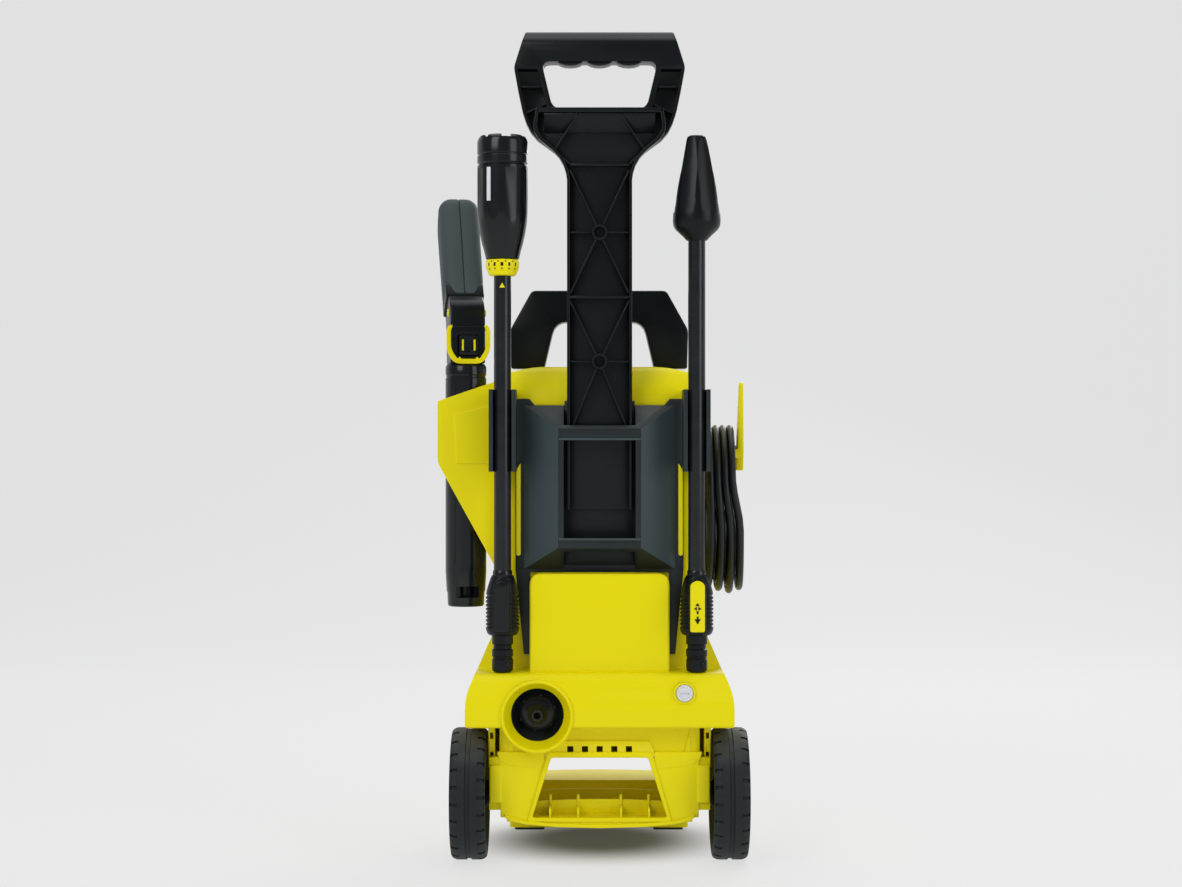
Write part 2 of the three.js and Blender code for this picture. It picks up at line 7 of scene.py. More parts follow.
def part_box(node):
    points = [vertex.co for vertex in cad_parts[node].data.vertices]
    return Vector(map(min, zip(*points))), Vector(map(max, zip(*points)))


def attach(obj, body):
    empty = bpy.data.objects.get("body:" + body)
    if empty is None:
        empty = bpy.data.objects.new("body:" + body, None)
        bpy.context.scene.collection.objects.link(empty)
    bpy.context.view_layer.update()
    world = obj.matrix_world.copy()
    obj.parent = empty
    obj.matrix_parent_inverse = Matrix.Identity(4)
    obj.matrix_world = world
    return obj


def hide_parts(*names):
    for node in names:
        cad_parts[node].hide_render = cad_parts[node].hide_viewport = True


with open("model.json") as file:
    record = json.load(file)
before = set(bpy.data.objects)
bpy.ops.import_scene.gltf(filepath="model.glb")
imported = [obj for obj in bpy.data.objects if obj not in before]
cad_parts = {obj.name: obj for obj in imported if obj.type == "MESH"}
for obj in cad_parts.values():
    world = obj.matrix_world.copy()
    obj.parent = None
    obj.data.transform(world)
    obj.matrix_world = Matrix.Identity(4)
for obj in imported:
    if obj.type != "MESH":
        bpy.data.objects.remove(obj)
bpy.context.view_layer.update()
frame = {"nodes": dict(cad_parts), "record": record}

# --- places ---------------------------------------------------------------------------------------

MM = 0.001


def middle(node):
    low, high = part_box(node)
    return (low + high) / 2


CENTRE_X = middle("pull_handle").x            # the machine's own middle plane
AXLE = middle("axle_right")
# the axle in the machine's own measures, whose y is 0 amid the casing
AXLE_DEPTH = -65 * MM
CENTRE_Y = AXLE.y - AXLE_DEPTH


def at(x, y, z):
    """A point given in millimetres from the middle plane, y towards the front, z above the ground."""
    return Vector((CENTRE_X + x * MM, CENTRE_Y + y * MM, z * MM))


# --- working by hand ------------------------------------------------------------------------------


def only(piece):
    """Select one piece and nothing else."""
    if bpy.context.mode != "OBJECT":
        bpy.ops.object.mode_set(mode="OBJECT")
    bpy.ops.object.select_all(action="DESELECT")
    piece.select_set(True)
    bpy.context.view_layer.objects.active = piece
    return piece


def new_piece(name, points, faces=(), edges=()):
    mesh = bpy.data.meshes.new(name)
    mesh.from_pydata([tuple(p) for p in points], list(edges), list(faces))
    piece = bpy.data.objects.new(name, mesh)
    bpy.context.scene.collection.objects.link(piece)
    return only(piece)


def settle(piece):
    """Put the piece's place into its mesh, as the frame wants it."""
    only(piece)
    bpy.ops.object.transform_apply(location=True, rotation=True, scale=True)
    return piece


def apply(piece, modifier):
    only(piece)
    bpy.ops.object.modifier_apply(modifier=modifier.name)


def rounded(piece, edge, steps=2, angle=30):
    """Round every edge sharper than the angle, and shade the piece smooth."""
    if edge:
        bevel = piece.modifiers.new("rounding", "BEVEL")
        bevel.width = edge * MM
        bevel.segments = steps
        bevel.limit_method = "ANGLE"
        bevel.angle_limit = math.radians(angle)
        bevel.use_clamp_overlap = True
        bevel.miter_outer = "MITER_ARC"
        apply(piece, bevel)
    only(piece)
    bpy.ops.object.shade_smooth_by_angle(angle=math.radians(40))
    return piece


def facing_out(piece):
    """Merge the points that meet, and turn every face outwards."""
    only(piece)
    bpy.ops.object.mode_set(mode="EDIT")
    bpy.ops.mesh.select_all(action="SELECT")
    bpy.ops.mesh.remove_doubles(threshold=0.00001)
    bpy.ops.mesh.normals_make_consistent(inside=False)
    bpy.ops.object.mode_set(mode="OBJECT")
    return piece


def finish_piece(piece, body, material, slot, *nodes):
    """Give the piece its material and the body that it moves with, and hide the CAD nodes that it stands for.
    """
    only(piece)
    bpy.ops.object.mode_set(mode="EDIT")
    bpy.ops.mesh.select_mode(type="FACE")
    bpy.ops.mesh.select_all(action="DESELECT")
    bpy.ops.mesh.select_face_by_sides(number=4, type="GREATER", extend=False)
    bpy.ops.mesh.quads_convert_to_tris(ngon_method="BEAUTY")
    bpy.ops.object.mode_set(mode="OBJECT")
    piece.data.materials.clear()
    piece.data.materials.append(material)
    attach(piece, body)
    if nodes:
        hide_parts(*nodes)
    return piece


def copy_of(name, node):
    """A merged copy of a CAD node, its flat faces made whole."""
    mesh = frame["nodes"][node].data.copy()
    mesh.materials.clear()
    piece = bpy.data.objects.new(name, mesh)
    bpy.context.scene.collection.objects.link(piece)
    only(piece)
    bpy.ops.object.mode_set(mode="EDIT")
    bpy.ops.mesh.select_all(action="SELECT")
    bpy.ops.mesh.remove_doubles(threshold=0.00002)
    bpy.ops.mesh.dissolve_limited(angle_limit=math.radians(0.6))
    bpy.ops.object.mode_set(mode="OBJECT")
    return piece


def block(name, low, high, edge=0.0, steps=2):
    """A block between two corners in the machine's millimetres, its edges rounded."""
    low, high = at(*low), at(*high)
    bpy.ops.mesh.primitive_cube_add(size=1, location=(low + high) / 2)
    piece = bpy.context.active_object
    piece.name = name
    piece.scale = high - low
    settle(piece)
    return rounded(piece, edge, steps) if edge else piece


def slab(name, outline, near, far, axis="y", edge=0.0, steps=2):
    """A plate: an outline across an axis, extruded from near to far along it, its edges rounded."""
    place = {"x": lambda u, v, w: at(w, u, v),
             "y": lambda u, v, w: at(u, w, v),
             "z": lambda u, v, w: at(u, v, w)}[axis]
    piece = new_piece(name, [place(u, v, near) for u, v in outline], [range(len(outline))])
    bpy.ops.object.mode_set(mode="EDIT")
    bpy.ops.mesh.select_all(action="SELECT")
    move = place(0, 0, far) - place(0, 0, near)
    bpy.ops.mesh.extrude_region_move(TRANSFORM_OT_translate={"value": move})
    bpy.ops.object.mode_set(mode="OBJECT")
    facing_out(piece)
    return rounded(piece, edge, steps) if edge else piece


def turned(name, profile, centre, axis="z", steps=64, edge=0.0):
    """A turned piece: radius and height pairs spun about an axis through a centre."""
    along = {"x": Vector((1, 0, 0)), "y": Vector((0, 1, 0)), "z": Vector((0, 0, 1))}[axis]
    out = {"x": Vector((0, 1, 0)), "y": Vector((1, 0, 0)), "z": Vector((1, 0, 0))}[axis]
    points = [centre + out * r * MM + along * h * MM for r, h in profile]
    closed = profile[0] == profile[-1]
    if closed:
        points = points[:-1]
    edges = [(i, i + 1) for i in range(len(points) - 1)]
    if closed:
        edges.append((len(points) - 1, 0))
    piece = new_piece(name, points, edges=edges)
    bpy.ops.object.mode_set(mode="EDIT")
    bpy.ops.mesh.select_all(action="SELECT")
    bpy.ops.mesh.spin(steps=steps, angle=2 * math.pi, center=centre, axis=along)
    bpy.ops.object.mode_set(mode="OBJECT")
    facing_out(piece)
    return rounded(piece, edge, 2, 25) if edge else rounded(piece, 0)


def joined(name, pieces):
    """Several pieces made one under a new name."""
    only(pieces[0])
    for piece in pieces[1:]:
        piece.select_set(True)
    bpy.ops.object.join()
    pieces[0].name = name
    return pieces[0]


def combined(piece, tool, how="UNION"):
    """Join, cross or cut the piece with a tool, which is used up."""
    boolean = piece.modifiers.new("combine", "BOOLEAN")
    boolean.operation = how
    boolean.solver = "EXACT"
    boolean.object = tool
    apply(piece, boolean)
    bpy.data.objects.remove(tool)
    return piece


def carved(piece, *tools):
    """Cut the tools out of the piece."""
    for tool in tools:
        combined(piece, tool, "DIFFERENCE")
    return piece


def rounded_outline(corners, steps=6):
    """An outline through corners, each rounded by the radius given third in it."""
    points = []
    count = len(corners)
    for i, (x, y, *radius) in enumerate(corners):
        here = Vector((x, y))
        if not radius:
            points.append((x, y))
            continue
        to_last = Vector(corners[i - 1][:2]) - here
        to_next = Vector(corners[(i + 1) % count][:2]) - here
        reach = min(radius[0], 0.48 * to_last.length, 0.48 * to_next.length)
        before = here + to_last.normalized() * reach
        after = here + to_next.normalized() * reach
        for k in range(steps + 1):
            t = k / steps
            points.append(tuple(before * (1 - t) ** 2 + here * 2 * t * (1 - t) + after * t * t))
    return points


def both_sides(half):
    """The right half of an outline from bottom to top, and its mirror image."""
    return [*half, *[(-x, *rest) for x, *rest in reversed(half)]]


def drill(name, axis, radius, start, end, centre, steps=48):
    """A plain rod to cut a round hole with."""
    middle_point = {"x": at((start + end) / 2, centre[1], centre[2]),
                    "y": at(centre[0], (start + end) / 2, centre[2]),
                    "z": at(centre[0], centre[1], (start + end) / 2)}[axis]
    turn = {"x": (0, math.pi / 2, 0), "y": (math.pi / 2, 0, 0), "z": (0, 0, 0)}[axis]
    bpy.ops.mesh.primitive_cylinder_add(vertices=steps, radius=radius * MM, depth=(end - start) * MM,
                                        location=middle_point, rotation=turn)
    piece = bpy.context.active_object
    piece.name = name
    return settle(piece)


# --- node groups ----------------------------------------------------------------------------------


def socket(group, name, kind, default=None, output=False):
    made = group.interface.new_socket(name=name, in_out="OUTPUT" if output else "INPUT",
                                      socket_type="NodeSocket" + kind)
    if default is not None:
        made.default_value = default
    return made


def start_group(name):
    group = bpy.data.node_groups.new(name, "ShaderNodeTree")
    return group, group.nodes.new("NodeGroupInput"), group.nodes.new("NodeGroupOutput")


def moulding_grain():
    """The fine spark-eroded grain of a mould, and the slow waviness of a moulded wall."""
    group, given, out = start_group("moulding_grain")
    socket(group, "Vector", "Vector")
    socket(group, "Grain", "Float", 1800.0)
    socket(group, "Waviness", "Float", 0.3)
    socket(group, "Height", "Float", output=True)
    grain = group.nodes.new("ShaderNodeTexNoise")
    grain.inputs["Detail"].default_value = 3
    wave = group.nodes.new("ShaderNodeTexNoise")
    wave.inputs["Scale"].default_value = 22
    wave.inputs["Detail"].default_value = 1
    mix = group.nodes.new("ShaderNodeMath")
    mix.operation = "MULTIPLY_ADD"
    link = group.links.new
    link(given.outputs["Vector"], grain.inputs["Vector"])
    link(given.outputs["Grain"], grain.inputs["Scale"])
    link(given.outputs["Vector"], wave.inputs["Vector"])
    link(wave.outputs["Fac"], mix.inputs[0])
    link(given.outputs["Waviness"], mix.inputs[1])
    link(grain.outputs["Fac"], mix.inputs[2])
    link(mix.outputs[0], out.inputs["Height"])
    return group


def scuffs():
    """Sparse fine scratches from handling, as a mask."""
    group, given, out = start_group("scuffs")
    socket(group, "Vector", "Vector")
    socket(group, "Amount", "Float", 0.5)
    socket(group, "Mask", "Float", output=True)
    link = group.links.new
    warp = group.nodes.new("ShaderNodeTexNoise")
    warp.inputs["Scale"].default_value = 9
    stretch = group.nodes.new("ShaderNodeVectorMath")
    stretch.operation = "MULTIPLY_ADD"
    stretch.inputs[1].default_value = (0.12, 0.12, 0.12)
    lines = group.nodes.new("ShaderNodeTexVoronoi")
    lines.feature = "DISTANCE_TO_EDGE"
    lines.inputs["Scale"].default_value = 26
    thin = group.nodes.new("ShaderNodeMapRange")
    thin.inputs["From Max"].default_value = 0.012
    thin.inputs["To Min"].default_value = 1.0
    thin.inputs["To Max"].default_value = 0.0
    patches = group.nodes.new("ShaderNodeTexNoise")
    patches.inputs["Scale"].default_value = 14
    patches.inputs["Detail"].default_value = 4
    choose = group.nodes.new("ShaderNodeMapRange")
    choose.inputs["From Min"].default_value = 0.56
    choose.inputs["From Max"].default_value = 0.72
    both = group.nodes.new("ShaderNodeMath")
    both.operation = "MULTIPLY"
    scaled = group.nodes.new("ShaderNodeMath")
    scaled.operation = "MULTIPLY"
    link(given.outputs["Vector"], warp.inputs["Vector"])
    link(warp.outputs["Color"], stretch.inputs[0])
    link(given.outputs["Vector"], stretch.inputs[2])
    link(stretch.outputs[0], lines.inputs["Vector"])
    link(lines.outputs["Distance"], thin.inputs["Value"])
    link(given.outputs["Vector"], patches.inputs["Vector"])
    link(patches.outputs["Fac"], choose.inputs["Value"])
    link(thin.outputs[0], both.inputs[0])
    link(choose.outputs[0], both.inputs[1])
    link(both.outputs[0], scaled.inputs[0])
    link(given.outputs["Amount"], scaled.inputs[1])
    link(scaled.outputs[0], out.inputs["Mask"])
    return group


def edge_wear():
    """Where corners rub paler, as a mask from the surface's own curvature, broken up by noise."""
    group, given, out = start_group("edge_wear")
    socket(group, "Vector", "Vector")
    socket(group, "Amount", "Float", 0.5)
    socket(group, "Mask", "Float", output=True)
    link = group.links.new
    shape = group.nodes.new("ShaderNodeNewGeometry")
    sharp = group.nodes.new("ShaderNodeMapRange")
    sharp.inputs["From Min"].default_value = 0.53
    sharp.inputs["From Max"].default_value = 0.62
    rough = group.nodes.new("ShaderNodeTexNoise")
    rough.inputs["Scale"].default_value = 70
    rough.inputs["Detail"].default_value = 5
    both = group.nodes.new("ShaderNodeMath")
    both.operation = "MULTIPLY"
    scaled = group.nodes.new("ShaderNodeMath")
    scaled.operation = "MULTIPLY"
    link(shape.outputs["Pointiness"], sharp.inputs["Value"])
    link(given.outputs["Vector"], rough.inputs["Vector"])
    link(sharp.outputs[0], both.inputs[0])
    link(rough.outputs["Fac"], both.inputs[1])
    link(both.outputs[0], scaled.inputs[0])
    link(given.outputs["Amount"], scaled.inputs[1])
    link(scaled.outputs[0], out.inputs["Mask"])
    return group


def settled_dust():
    """A trace of pale dust on what faces up, as a mask."""
    group, given, out = start_group("settled_dust")
    socket(group, "Vector", "Vector")
    socket(group, "Amount", "Float", 0.15)
    socket(group, "Mask", "Float", output=True)
    link = group.links.new
    shape = group.nodes.new("ShaderNodeNewGeometry")
    split = group.nodes.new("ShaderNodeSeparateXYZ")
    up = group.nodes.new("ShaderNodeMapRange")
    up.inputs["From Min"].default_value = 0.5
    noise = group.nodes.new("ShaderNodeTexNoise")
    noise.inputs["Scale"].default_value = 45
    noise.inputs["Detail"].default_value = 6
    both = group.nodes.new("ShaderNodeMath")
    both.operation = "MULTIPLY"
    scaled = group.nodes.new("ShaderNodeMath")
    scaled.operation = "MULTIPLY"
    link(shape.outputs["Normal"], split.inputs[0])
    link(split.outputs["Z"], up.inputs["Value"])
    link(given.outputs["Vector"], noise.inputs["Vector"])
    link(up.outputs[0], both.inputs[0])
    link(noise.outputs["Fac"], both.inputs[1])
    link(both.outputs[0], scaled.inputs[0])
    link(given.outputs["Amount"], scaled.inputs[1])
    link(scaled.outputs[0], out.inputs["Mask"])
    return group


GRAIN, SCUFFS, WEAR, DUST = moulding_grain(), scuffs(), edge_wear(), settled_dust()


def add_group(tree, group, coords, **values):
    node = tree.nodes.new("ShaderNodeGroup")
    node.node_tree = group
    tree.links.new(coords, node.inputs["Vector"])
    for name, value in values.items():
        node.inputs[name].default_value = value
    return node


def tinted(tree, below, mask, colour):
    """The colour below, with another laid over it where the mask says."""
    mix = tree.nodes.new("ShaderNodeMix")
    mix.data_type = "RGBA"
    tree.links.new(mask, mix.inputs["Factor"])
    tree.links.new(below, mix.inputs["A"])
    mix.inputs["B"].default_value = colour
    return mix.outputs["Result"]


def moulded(name, colour, shade, rough=0.35, grain=1500, bump=0.04, worn=None, wear=0.4, dust=0.12,
            metal=0.0, coat=0.0, waviness=0.3, specular=0.5):
    """A moulded or cast finish: two near colours in slow patches, grain, scuffs, worn edges and dust."""
    material = bpy.data.materials.new(name)
    material.use_nodes = True
    tree = material.node_tree
    link = tree.links.new
    shader = tree.nodes["Principled BSDF"]
    coords = tree.nodes.new("ShaderNodeTexCoord").outputs["Object"]
    patches = tree.nodes.new("ShaderNodeTexNoise")
    patches.inputs["Scale"].default_value = 7
    patches.inputs["Detail"].default_value = 3
    link(coords, patches.inputs["Vector"])
    base = tree.nodes.new("ShaderNodeMix")
    base.data_type = "RGBA"
    base.inputs["A"].default_value = (*colour, 1)
    base.inputs["B"].default_value = (*shade, 1)
    link(patches.outputs["Fac"], base.inputs["Factor"])
    result = base.outputs["Result"]
    rubbed = add_group(tree, WEAR, coords, Amount=wear)
    if worn:
        result = tinted(tree, result, rubbed.outputs["Mask"], (*worn, 1))
    fallen = add_group(tree, DUST, coords, Amount=dust)
    result = tinted(tree, result, fallen.outputs["Mask"], (0.55, 0.54, 0.5, 1))
    link(result, shader.inputs["Base Color"])
    marks = add_group(tree, SCUFFS, coords, Amount=0.6)
    roughness = tree.nodes.new("ShaderNodeMapRange")
    roughness.inputs["To Min"].default_value = rough - 0.05
    roughness.inputs["To Max"].default_value = rough + 0.07
    link(patches.outputs["Fac"], roughness.inputs["Value"])
    raised = tree.nodes.new("ShaderNodeMath")
    raised.operation = "MULTIPLY_ADD"
    raised.inputs[1].default_value = 0.25
    link(marks.outputs["Mask"], raised.inputs[0])
    link(roughness.outputs[0], raised.inputs[2])
    link(raised.outputs[0], shader.inputs["Roughness"])
    height = add_group(tree, GRAIN, coords, Grain=grain, Waviness=waviness)
    relief = tree.nodes.new("ShaderNodeBump")
    relief.inputs["Strength"].default_value = bump
    relief.inputs["Distance"].default_value = 0.001
    link(height.outputs["Height"], relief.inputs["Height"])
    link(relief.outputs["Normal"], shader.inputs["Normal"])
    shader.inputs["Metallic"].default_value = metal
    shader.inputs["Specular IOR Level"].default_value = specular
    shader.inputs["Coat Weight"].default_value = coat
    shader.inputs["Coat Roughness"].default_value = 0.12
    return material


YELLOW = moulded("yellow_moulding", (0.93, 0.82, 0.0), (0.88, 0.77, 0.0), 0.34, bump=0.03,
                 worn=(0.95, 0.88, 0.08), wear=0.35, dust=0.01, specular=0.2)
BLACK = moulded("black_moulding", (0.0022, 0.0042, 0.0048), (0.0036, 0.006, 0.0068), 0.3, bump=0.05,
                worn=(0.04, 0.055, 0.06), dust=0.01, specular=0.22)
GLOSS_BLACK = moulded("polished_black_moulding", (0.0022, 0.004, 0.0046), (0.0035, 0.0058, 0.0066), 0.18,
                      bump=0.015, worn=(0.05, 0.06, 0.065), dust=0.04, coat=0.12, specular=0.3)
SLATE = moulded("slate_moulding", (0.043, 0.065, 0.072), (0.052, 0.076, 0.083), 0.42, bump=0.06,
                worn=(0.12, 0.15, 0.16), dust=0.03, specular=0.3)
SOFT = moulded("soft_grip", (0.045, 0.062, 0.067), (0.055, 0.073, 0.078), 0.62, grain=2600, bump=0.12,
               worn=(0.1, 0.12, 0.13), dust=0.06, specular=0.3)
TYRE = moulded("tyre_rubber", (0.008, 0.0125, 0.0135), (0.012, 0.017, 0.018), 0.6, grain=900, bump=0.15,
               worn=(0.06, 0.07, 0.07), wear=0.6, dust=0.25, specular=0.3)
CABLE = moulded("cable_sheath", (0.006, 0.008, 0.009), (0.009, 0.011, 0.012), 0.36, grain=2200, bump=0.05,
                dust=0.02, specular=0.4)
WHITE = moulded("white_moulding", (0.80, 0.82, 0.83), (0.74, 0.77, 0.78), 0.3, bump=0.03, dust=0.1)
STEEL = moulded("turned_steel", (0.56, 0.57, 0.58), (0.48, 0.49, 0.5), 0.3, grain=700, bump=0.05, metal=1.0,
                dust=0.0)
CAST = moulded("cast_alloy", (0.52, 0.53, 0.54), (0.44, 0.45, 0.46), 0.5, grain=500, bump=0.25, metal=1.0,
               dust=0.0)
BRASS = moulded("turned_brass", (0.60, 0.42, 0.16), (0.52, 0.36, 0.13), 0.28, grain=700, bump=0.05,
                metal=1.0, dust=0.0)
SLOT_FINISH = {
    "yellow_plastic": YELLOW, "black_plastic": BLACK, "slate_plastic": SLATE, "soft_grip": SOFT,
               "wheel_rubber": TYRE,
    "cable_rubber": CABLE, "steel": STEEL, "cast_alloy": CAST, "brass": BRASS, "white_plastic": WHITE,
}

for entry in frame["record"]["subparts"]:
    node = frame["nodes"][entry["node"]]
    node.data.materials.clear()
    node.data.materials.append(SLOT_FINISH[entry["material_slot"]])

# --- camera and light -----------------------------------------------------------------------------

CAMERA_HEIGHT = 390
CAMERA_AWAY = 2100
VIEW_WIDTH = 1111                            # what the frame's width takes in at the axle, in millimetres
VIEW_CENTRE = -8


def studio():
    """A pale sweep behind and under the washer with a painted shadow in its glow beneath it, soft lights, and
    the camera behind it at half its height.
    """
    sweep = [(-60, 0), (1.6, 0)] + [(1.6 + 1.2 * math.sin(t), 1.2 - 1.2 * math.cos(t)) for t in
                                     [math.radians(a) for a in range(6, 91, 6)]] + [(2.8, 4.0)]
    floor = new_piece("studio_sweep", [(-60, y, z) for y, z in sweep],
                      edges=[(i, i + 1) for i in range(len(sweep) - 1)])
    bpy.ops.object.mode_set(mode="EDIT")
    bpy.ops.mesh.select_all(action="SELECT")
    bpy.ops.mesh.extrude_region_move(TRANSFORM_OT_translate={"value": (120, 0, 0)})
    bpy.ops.object.mode_set(mode="OBJECT")
    bpy.ops.object.shade_smooth()
    pale = bpy.data.materials.new("studio_paper")
    pale.use_nodes = True
    nodes, links = pale.node_tree.nodes, pale.node_tree.links
    surface = nodes["Principled BSDF"]
    surface.inputs["Base Color"].default_value = (0.12, 0.12, 0.12, 1)
    surface.inputs["Roughness"].default_value = 0.9
    surface.inputs["Emission Strength"].default_value = 1.0
    painted_shadow_place = nodes.new("ShaderNodeMapping")                       # painted shadow: the sweep's glow is darkened in a soft patch under the machine
    painted_shadow_place.inputs["Location"].default_value = (-0.07, -0.28, 0)
    painted_shadow_place.inputs["Scale"].default_value = (6.2, 6.4, 6.2)
    shade = nodes.new("ShaderNodeTexGradient")
    shade.gradient_type = "SPHERICAL"
    # the ramp runs from the bright sweep outside to the painted shadow's dark middle
    painted_shadow_tone = nodes.new("ShaderNodeValToRGB")
    painted_shadow_tone.color_ramp.interpolation = "EASE"
    painted_shadow_tone.color_ramp.elements[0].color = (0.66, 0.66, 0.66, 1)
    painted_shadow_tone.color_ramp.elements[1].position = 0.72
    painted_shadow_tone.color_ramp.elements[1].color = (0.05, 0.05, 0.05, 1)
    links.new(nodes.new("ShaderNodeTexCoord").outputs["Object"], painted_shadow_place.inputs["Vector"])
    links.new(painted_shadow_place.outputs["Vector"], shade.inputs["Vector"])
    links.new(shade.outputs["Fac"], painted_shadow_tone.inputs["Fac"])
    links.new(painted_shadow_tone.outputs["Color"], surface.inputs["Emission Color"])
    floor.data.materials.append(pale)
    world = bpy.context.scene.world or bpy.data.worlds.new("studio")
    bpy.context.scene.world = world
    world.use_nodes = True
    world.node_tree.nodes["Background"].inputs["Color"].default_value = (0.93, 0.95, 1.0, 1)
    world.node_tree.nodes["Background"].inputs["Strength"].default_value = 0.3

    def lamp(name, place, target, size, watts):
        light = bpy.data.lights.new(name, "AREA")
        light.shape = "RECTANGLE"
        light.size, light.size_y = size
        light.energy = watts
        holder = bpy.data.objects.new(name, light)
        bpy.context.scene.collection.objects.link(holder)
        holder.location = place
        holder.rotation_euler = (Vector(target) - Vector(place)).to_track_quat("-Z", "Y").to_euler()

    lamp("key", (-1.3, -1.9, 1.9), (0, 0, 0.4), (1.2, 1.6), 24)
    lamp("fill", (1.8, -1.5, 1.1), (0, 0, 0.4), (1.2, 1.6), 13)
    lamp("top", (0, 0.3, 2.4), (0, 0, 0.3), (2.0, 2.0), 20)
    lamp("front", (0.9, 1.9, 1.5), (0, 0, 0.4), (1.2, 1.2), 15)
    bpy.context.scene.view_settings.view_transform = "Standard"

    camera = bpy.data.cameras.new("camera")
    camera.sensor_width = 36
    camera.lens = 36 * CAMERA_AWAY / VIEW_WIDTH
    holder = bpy.data.objects.new("camera", camera)
    bpy.context.scene.collection.objects.link(holder)
    holder.location = at(VIEW_CENTRE, AXLE_DEPTH / MM - CAMERA_AWAY, CAMERA_HEIGHT)
    holder.rotation_euler = (math.pi / 2, 0, 0)
    bpy.context.scene.camera = holder


studio()

# --- mains cable ----------------------------------------------------------------------------------

CABLE_WIDTH = 6.6
COIL_Y, COIL_Z = -10, 329                    # middle of the coil
COIL_HALF_DEPTH, COIL_HALF_HEIGHT = 52.7, 75.7
COIL_COLUMNS, COIL_LAYERS = 4, 3
COIL_INNER = 105.0                           # the turns nearest the casing
# where the cable joins and leaves the coil, in degrees up from the front
COIL_START, COIL_END = -72, 66
STEP_FROM, STEP_LENGTH = 30, 60              # where a turn steps to the next place, in degrees
POINTS_PER_TURN = 40
# how far each column of turns hangs below the first, in millimetres
SAG = (0.0, 2.4, 4.6, 1.6)
LEAD = [(106, 45.7, 263), (106, 40, 263), (105.6, 33, 262.5), (105.3, 25, 261.3), (105.1, 17, 259.6)]
TAIL = [(130.5, 15, 386), (133, 24, 384), (133.4, 34, 377), (132.4, 44, 367), (129.5, 53, 354),
        (125.5, 60.5, 340), (122.4, 63.7, 331), (122, 64, 325.4)]


def coil_turns():
    """Points of the wound cable: turns side by side on the hook, spread where they hang free."""
    turns = COIL_COLUMNS * COIL_LAYERS
    sweep = COIL_START - COIL_END + 360 * turns
    count = int(sweep / 360 * POINTS_PER_TURN)
    points = []
    for i in range(count + 1):
        turned_by = sweep * i / count
        # Each turn holds its place all the way round, and the cable steps to the next low on the front.
        passed = (turned_by - (COIL_START + 360 - STEP_FROM)) / 360 + 1
        turn = math.floor(passed)
        shift = min(1.0, (passed - turn) * 360 / STEP_LENGTH) if turn > 0 else 1.0
        shift = shift * shift * (3 - 2 * shift)
        before, after = place_of(max(turn - 1, 0)), place_of(min(max(turn, 0), turns - 1))
        column = before[0] + (after[0] - before[0]) * shift
        layer = before[1] + (after[1] - before[1]) * shift
        points.append(coil_point(COIL_START - turned_by, column, layer, turn - 1 + shift))
    return points


def place_of(turn):
    layer = turn // COIL_COLUMNS
    column = turn % COIL_COLUMNS
    return (column if layer % 2 == 0 else COIL_COLUMNS - 1 - column), layer


def coil_point(angle, column, layer, turn):
    t = math.radians(angle)
    inward = layer * (CABLE_WIDTH + 0.15)
    low = max(0.0, -math.sin(t)) ** 2
    sag = SAG[math.floor(column)] + (SAG[math.ceil(column)] - SAG[math.floor(column)]) * (column % 1)
    y = COIL_Y + (COIL_HALF_DEPTH - inward) * math.cos(t)
    z = COIL_Z + (COIL_HALF_HEIGHT - inward + sag * low) * math.sin(t)
    free = min(1.0, max(0.0, (358 - z) / 50))
    free = free * free * (3 - 2 * free)
    pitch = 6.85 + 2.6 * free
    x = COIL_INNER + column * pitch + free * 0.9 * math.sin(2.3 * turn + 1.5 * t)
    return x, y, z


def flowing(points, steps=4):
    """The same way with more points, bending evenly through each of the given ones."""
    knots = [points[0], *points, points[-1]]
    way = []
    for a, b, c, d in zip(knots, knots[1:], knots[2:], knots[3:]):
        for i in range(steps):
            t = i / steps
            way.append(tuple(0.5 * (2 * b[k] + (c[k] - a[k]) * t
                                    + (2 * a[k] - 5 * b[k] + 4 * c[k] - d[k]) * t * t
                                    + (3 * b[k] - a[k] - 3 * c[k] + d[k]) * t * t * t) for k in range(3)))
    return way + [points[-1]]


def mains_cable():
    coil = coil_turns()
    points = flowing(LEAD + coil[:1]) + coil[1:-1] + flowing(coil[-1:] + TAIL)
    curve = bpy.data.curves.new("mains_cable", "CURVE")
    curve.dimensions = "3D"
    curve.bevel_depth = CABLE_WIDTH / 2 * MM
    curve.bevel_resolution = 3
    spline = curve.splines.new("POLY")
    spline.points.add(len(points) - 1)
    for knot, point in zip(spline.points, points):
        knot.co = (*at(*point), 1)
    spline.use_smooth = True
    cable = bpy.data.objects.new("mains_cable", curve)
    bpy.context.scene.collection.objects.link(cable)
    curve.materials.append(CABLE)
    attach(cable, "casing")
    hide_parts("cable_lead", "cable_coil", "cable_tail")
    length = sum((at(*a) - at(*b)).length for a, b in zip(points, points[1:]))
    return cable, length


cable, cable_length = mains_cable()

# --- casing ---------------------------------------------------------------------------------------

FUNNEL_X, FUNNEL_Z, FUNNEL_MOUTH = -57.6, 139, -114


def softened(name, node, body, material, slot, edge, steps=3, angle=24):
    """The CAD node's own shape with its edges moulded round."""
    piece = rounded(copy_of(name, node), edge, steps, angle)
    return finish_piece(piece, body, material, slot, node)


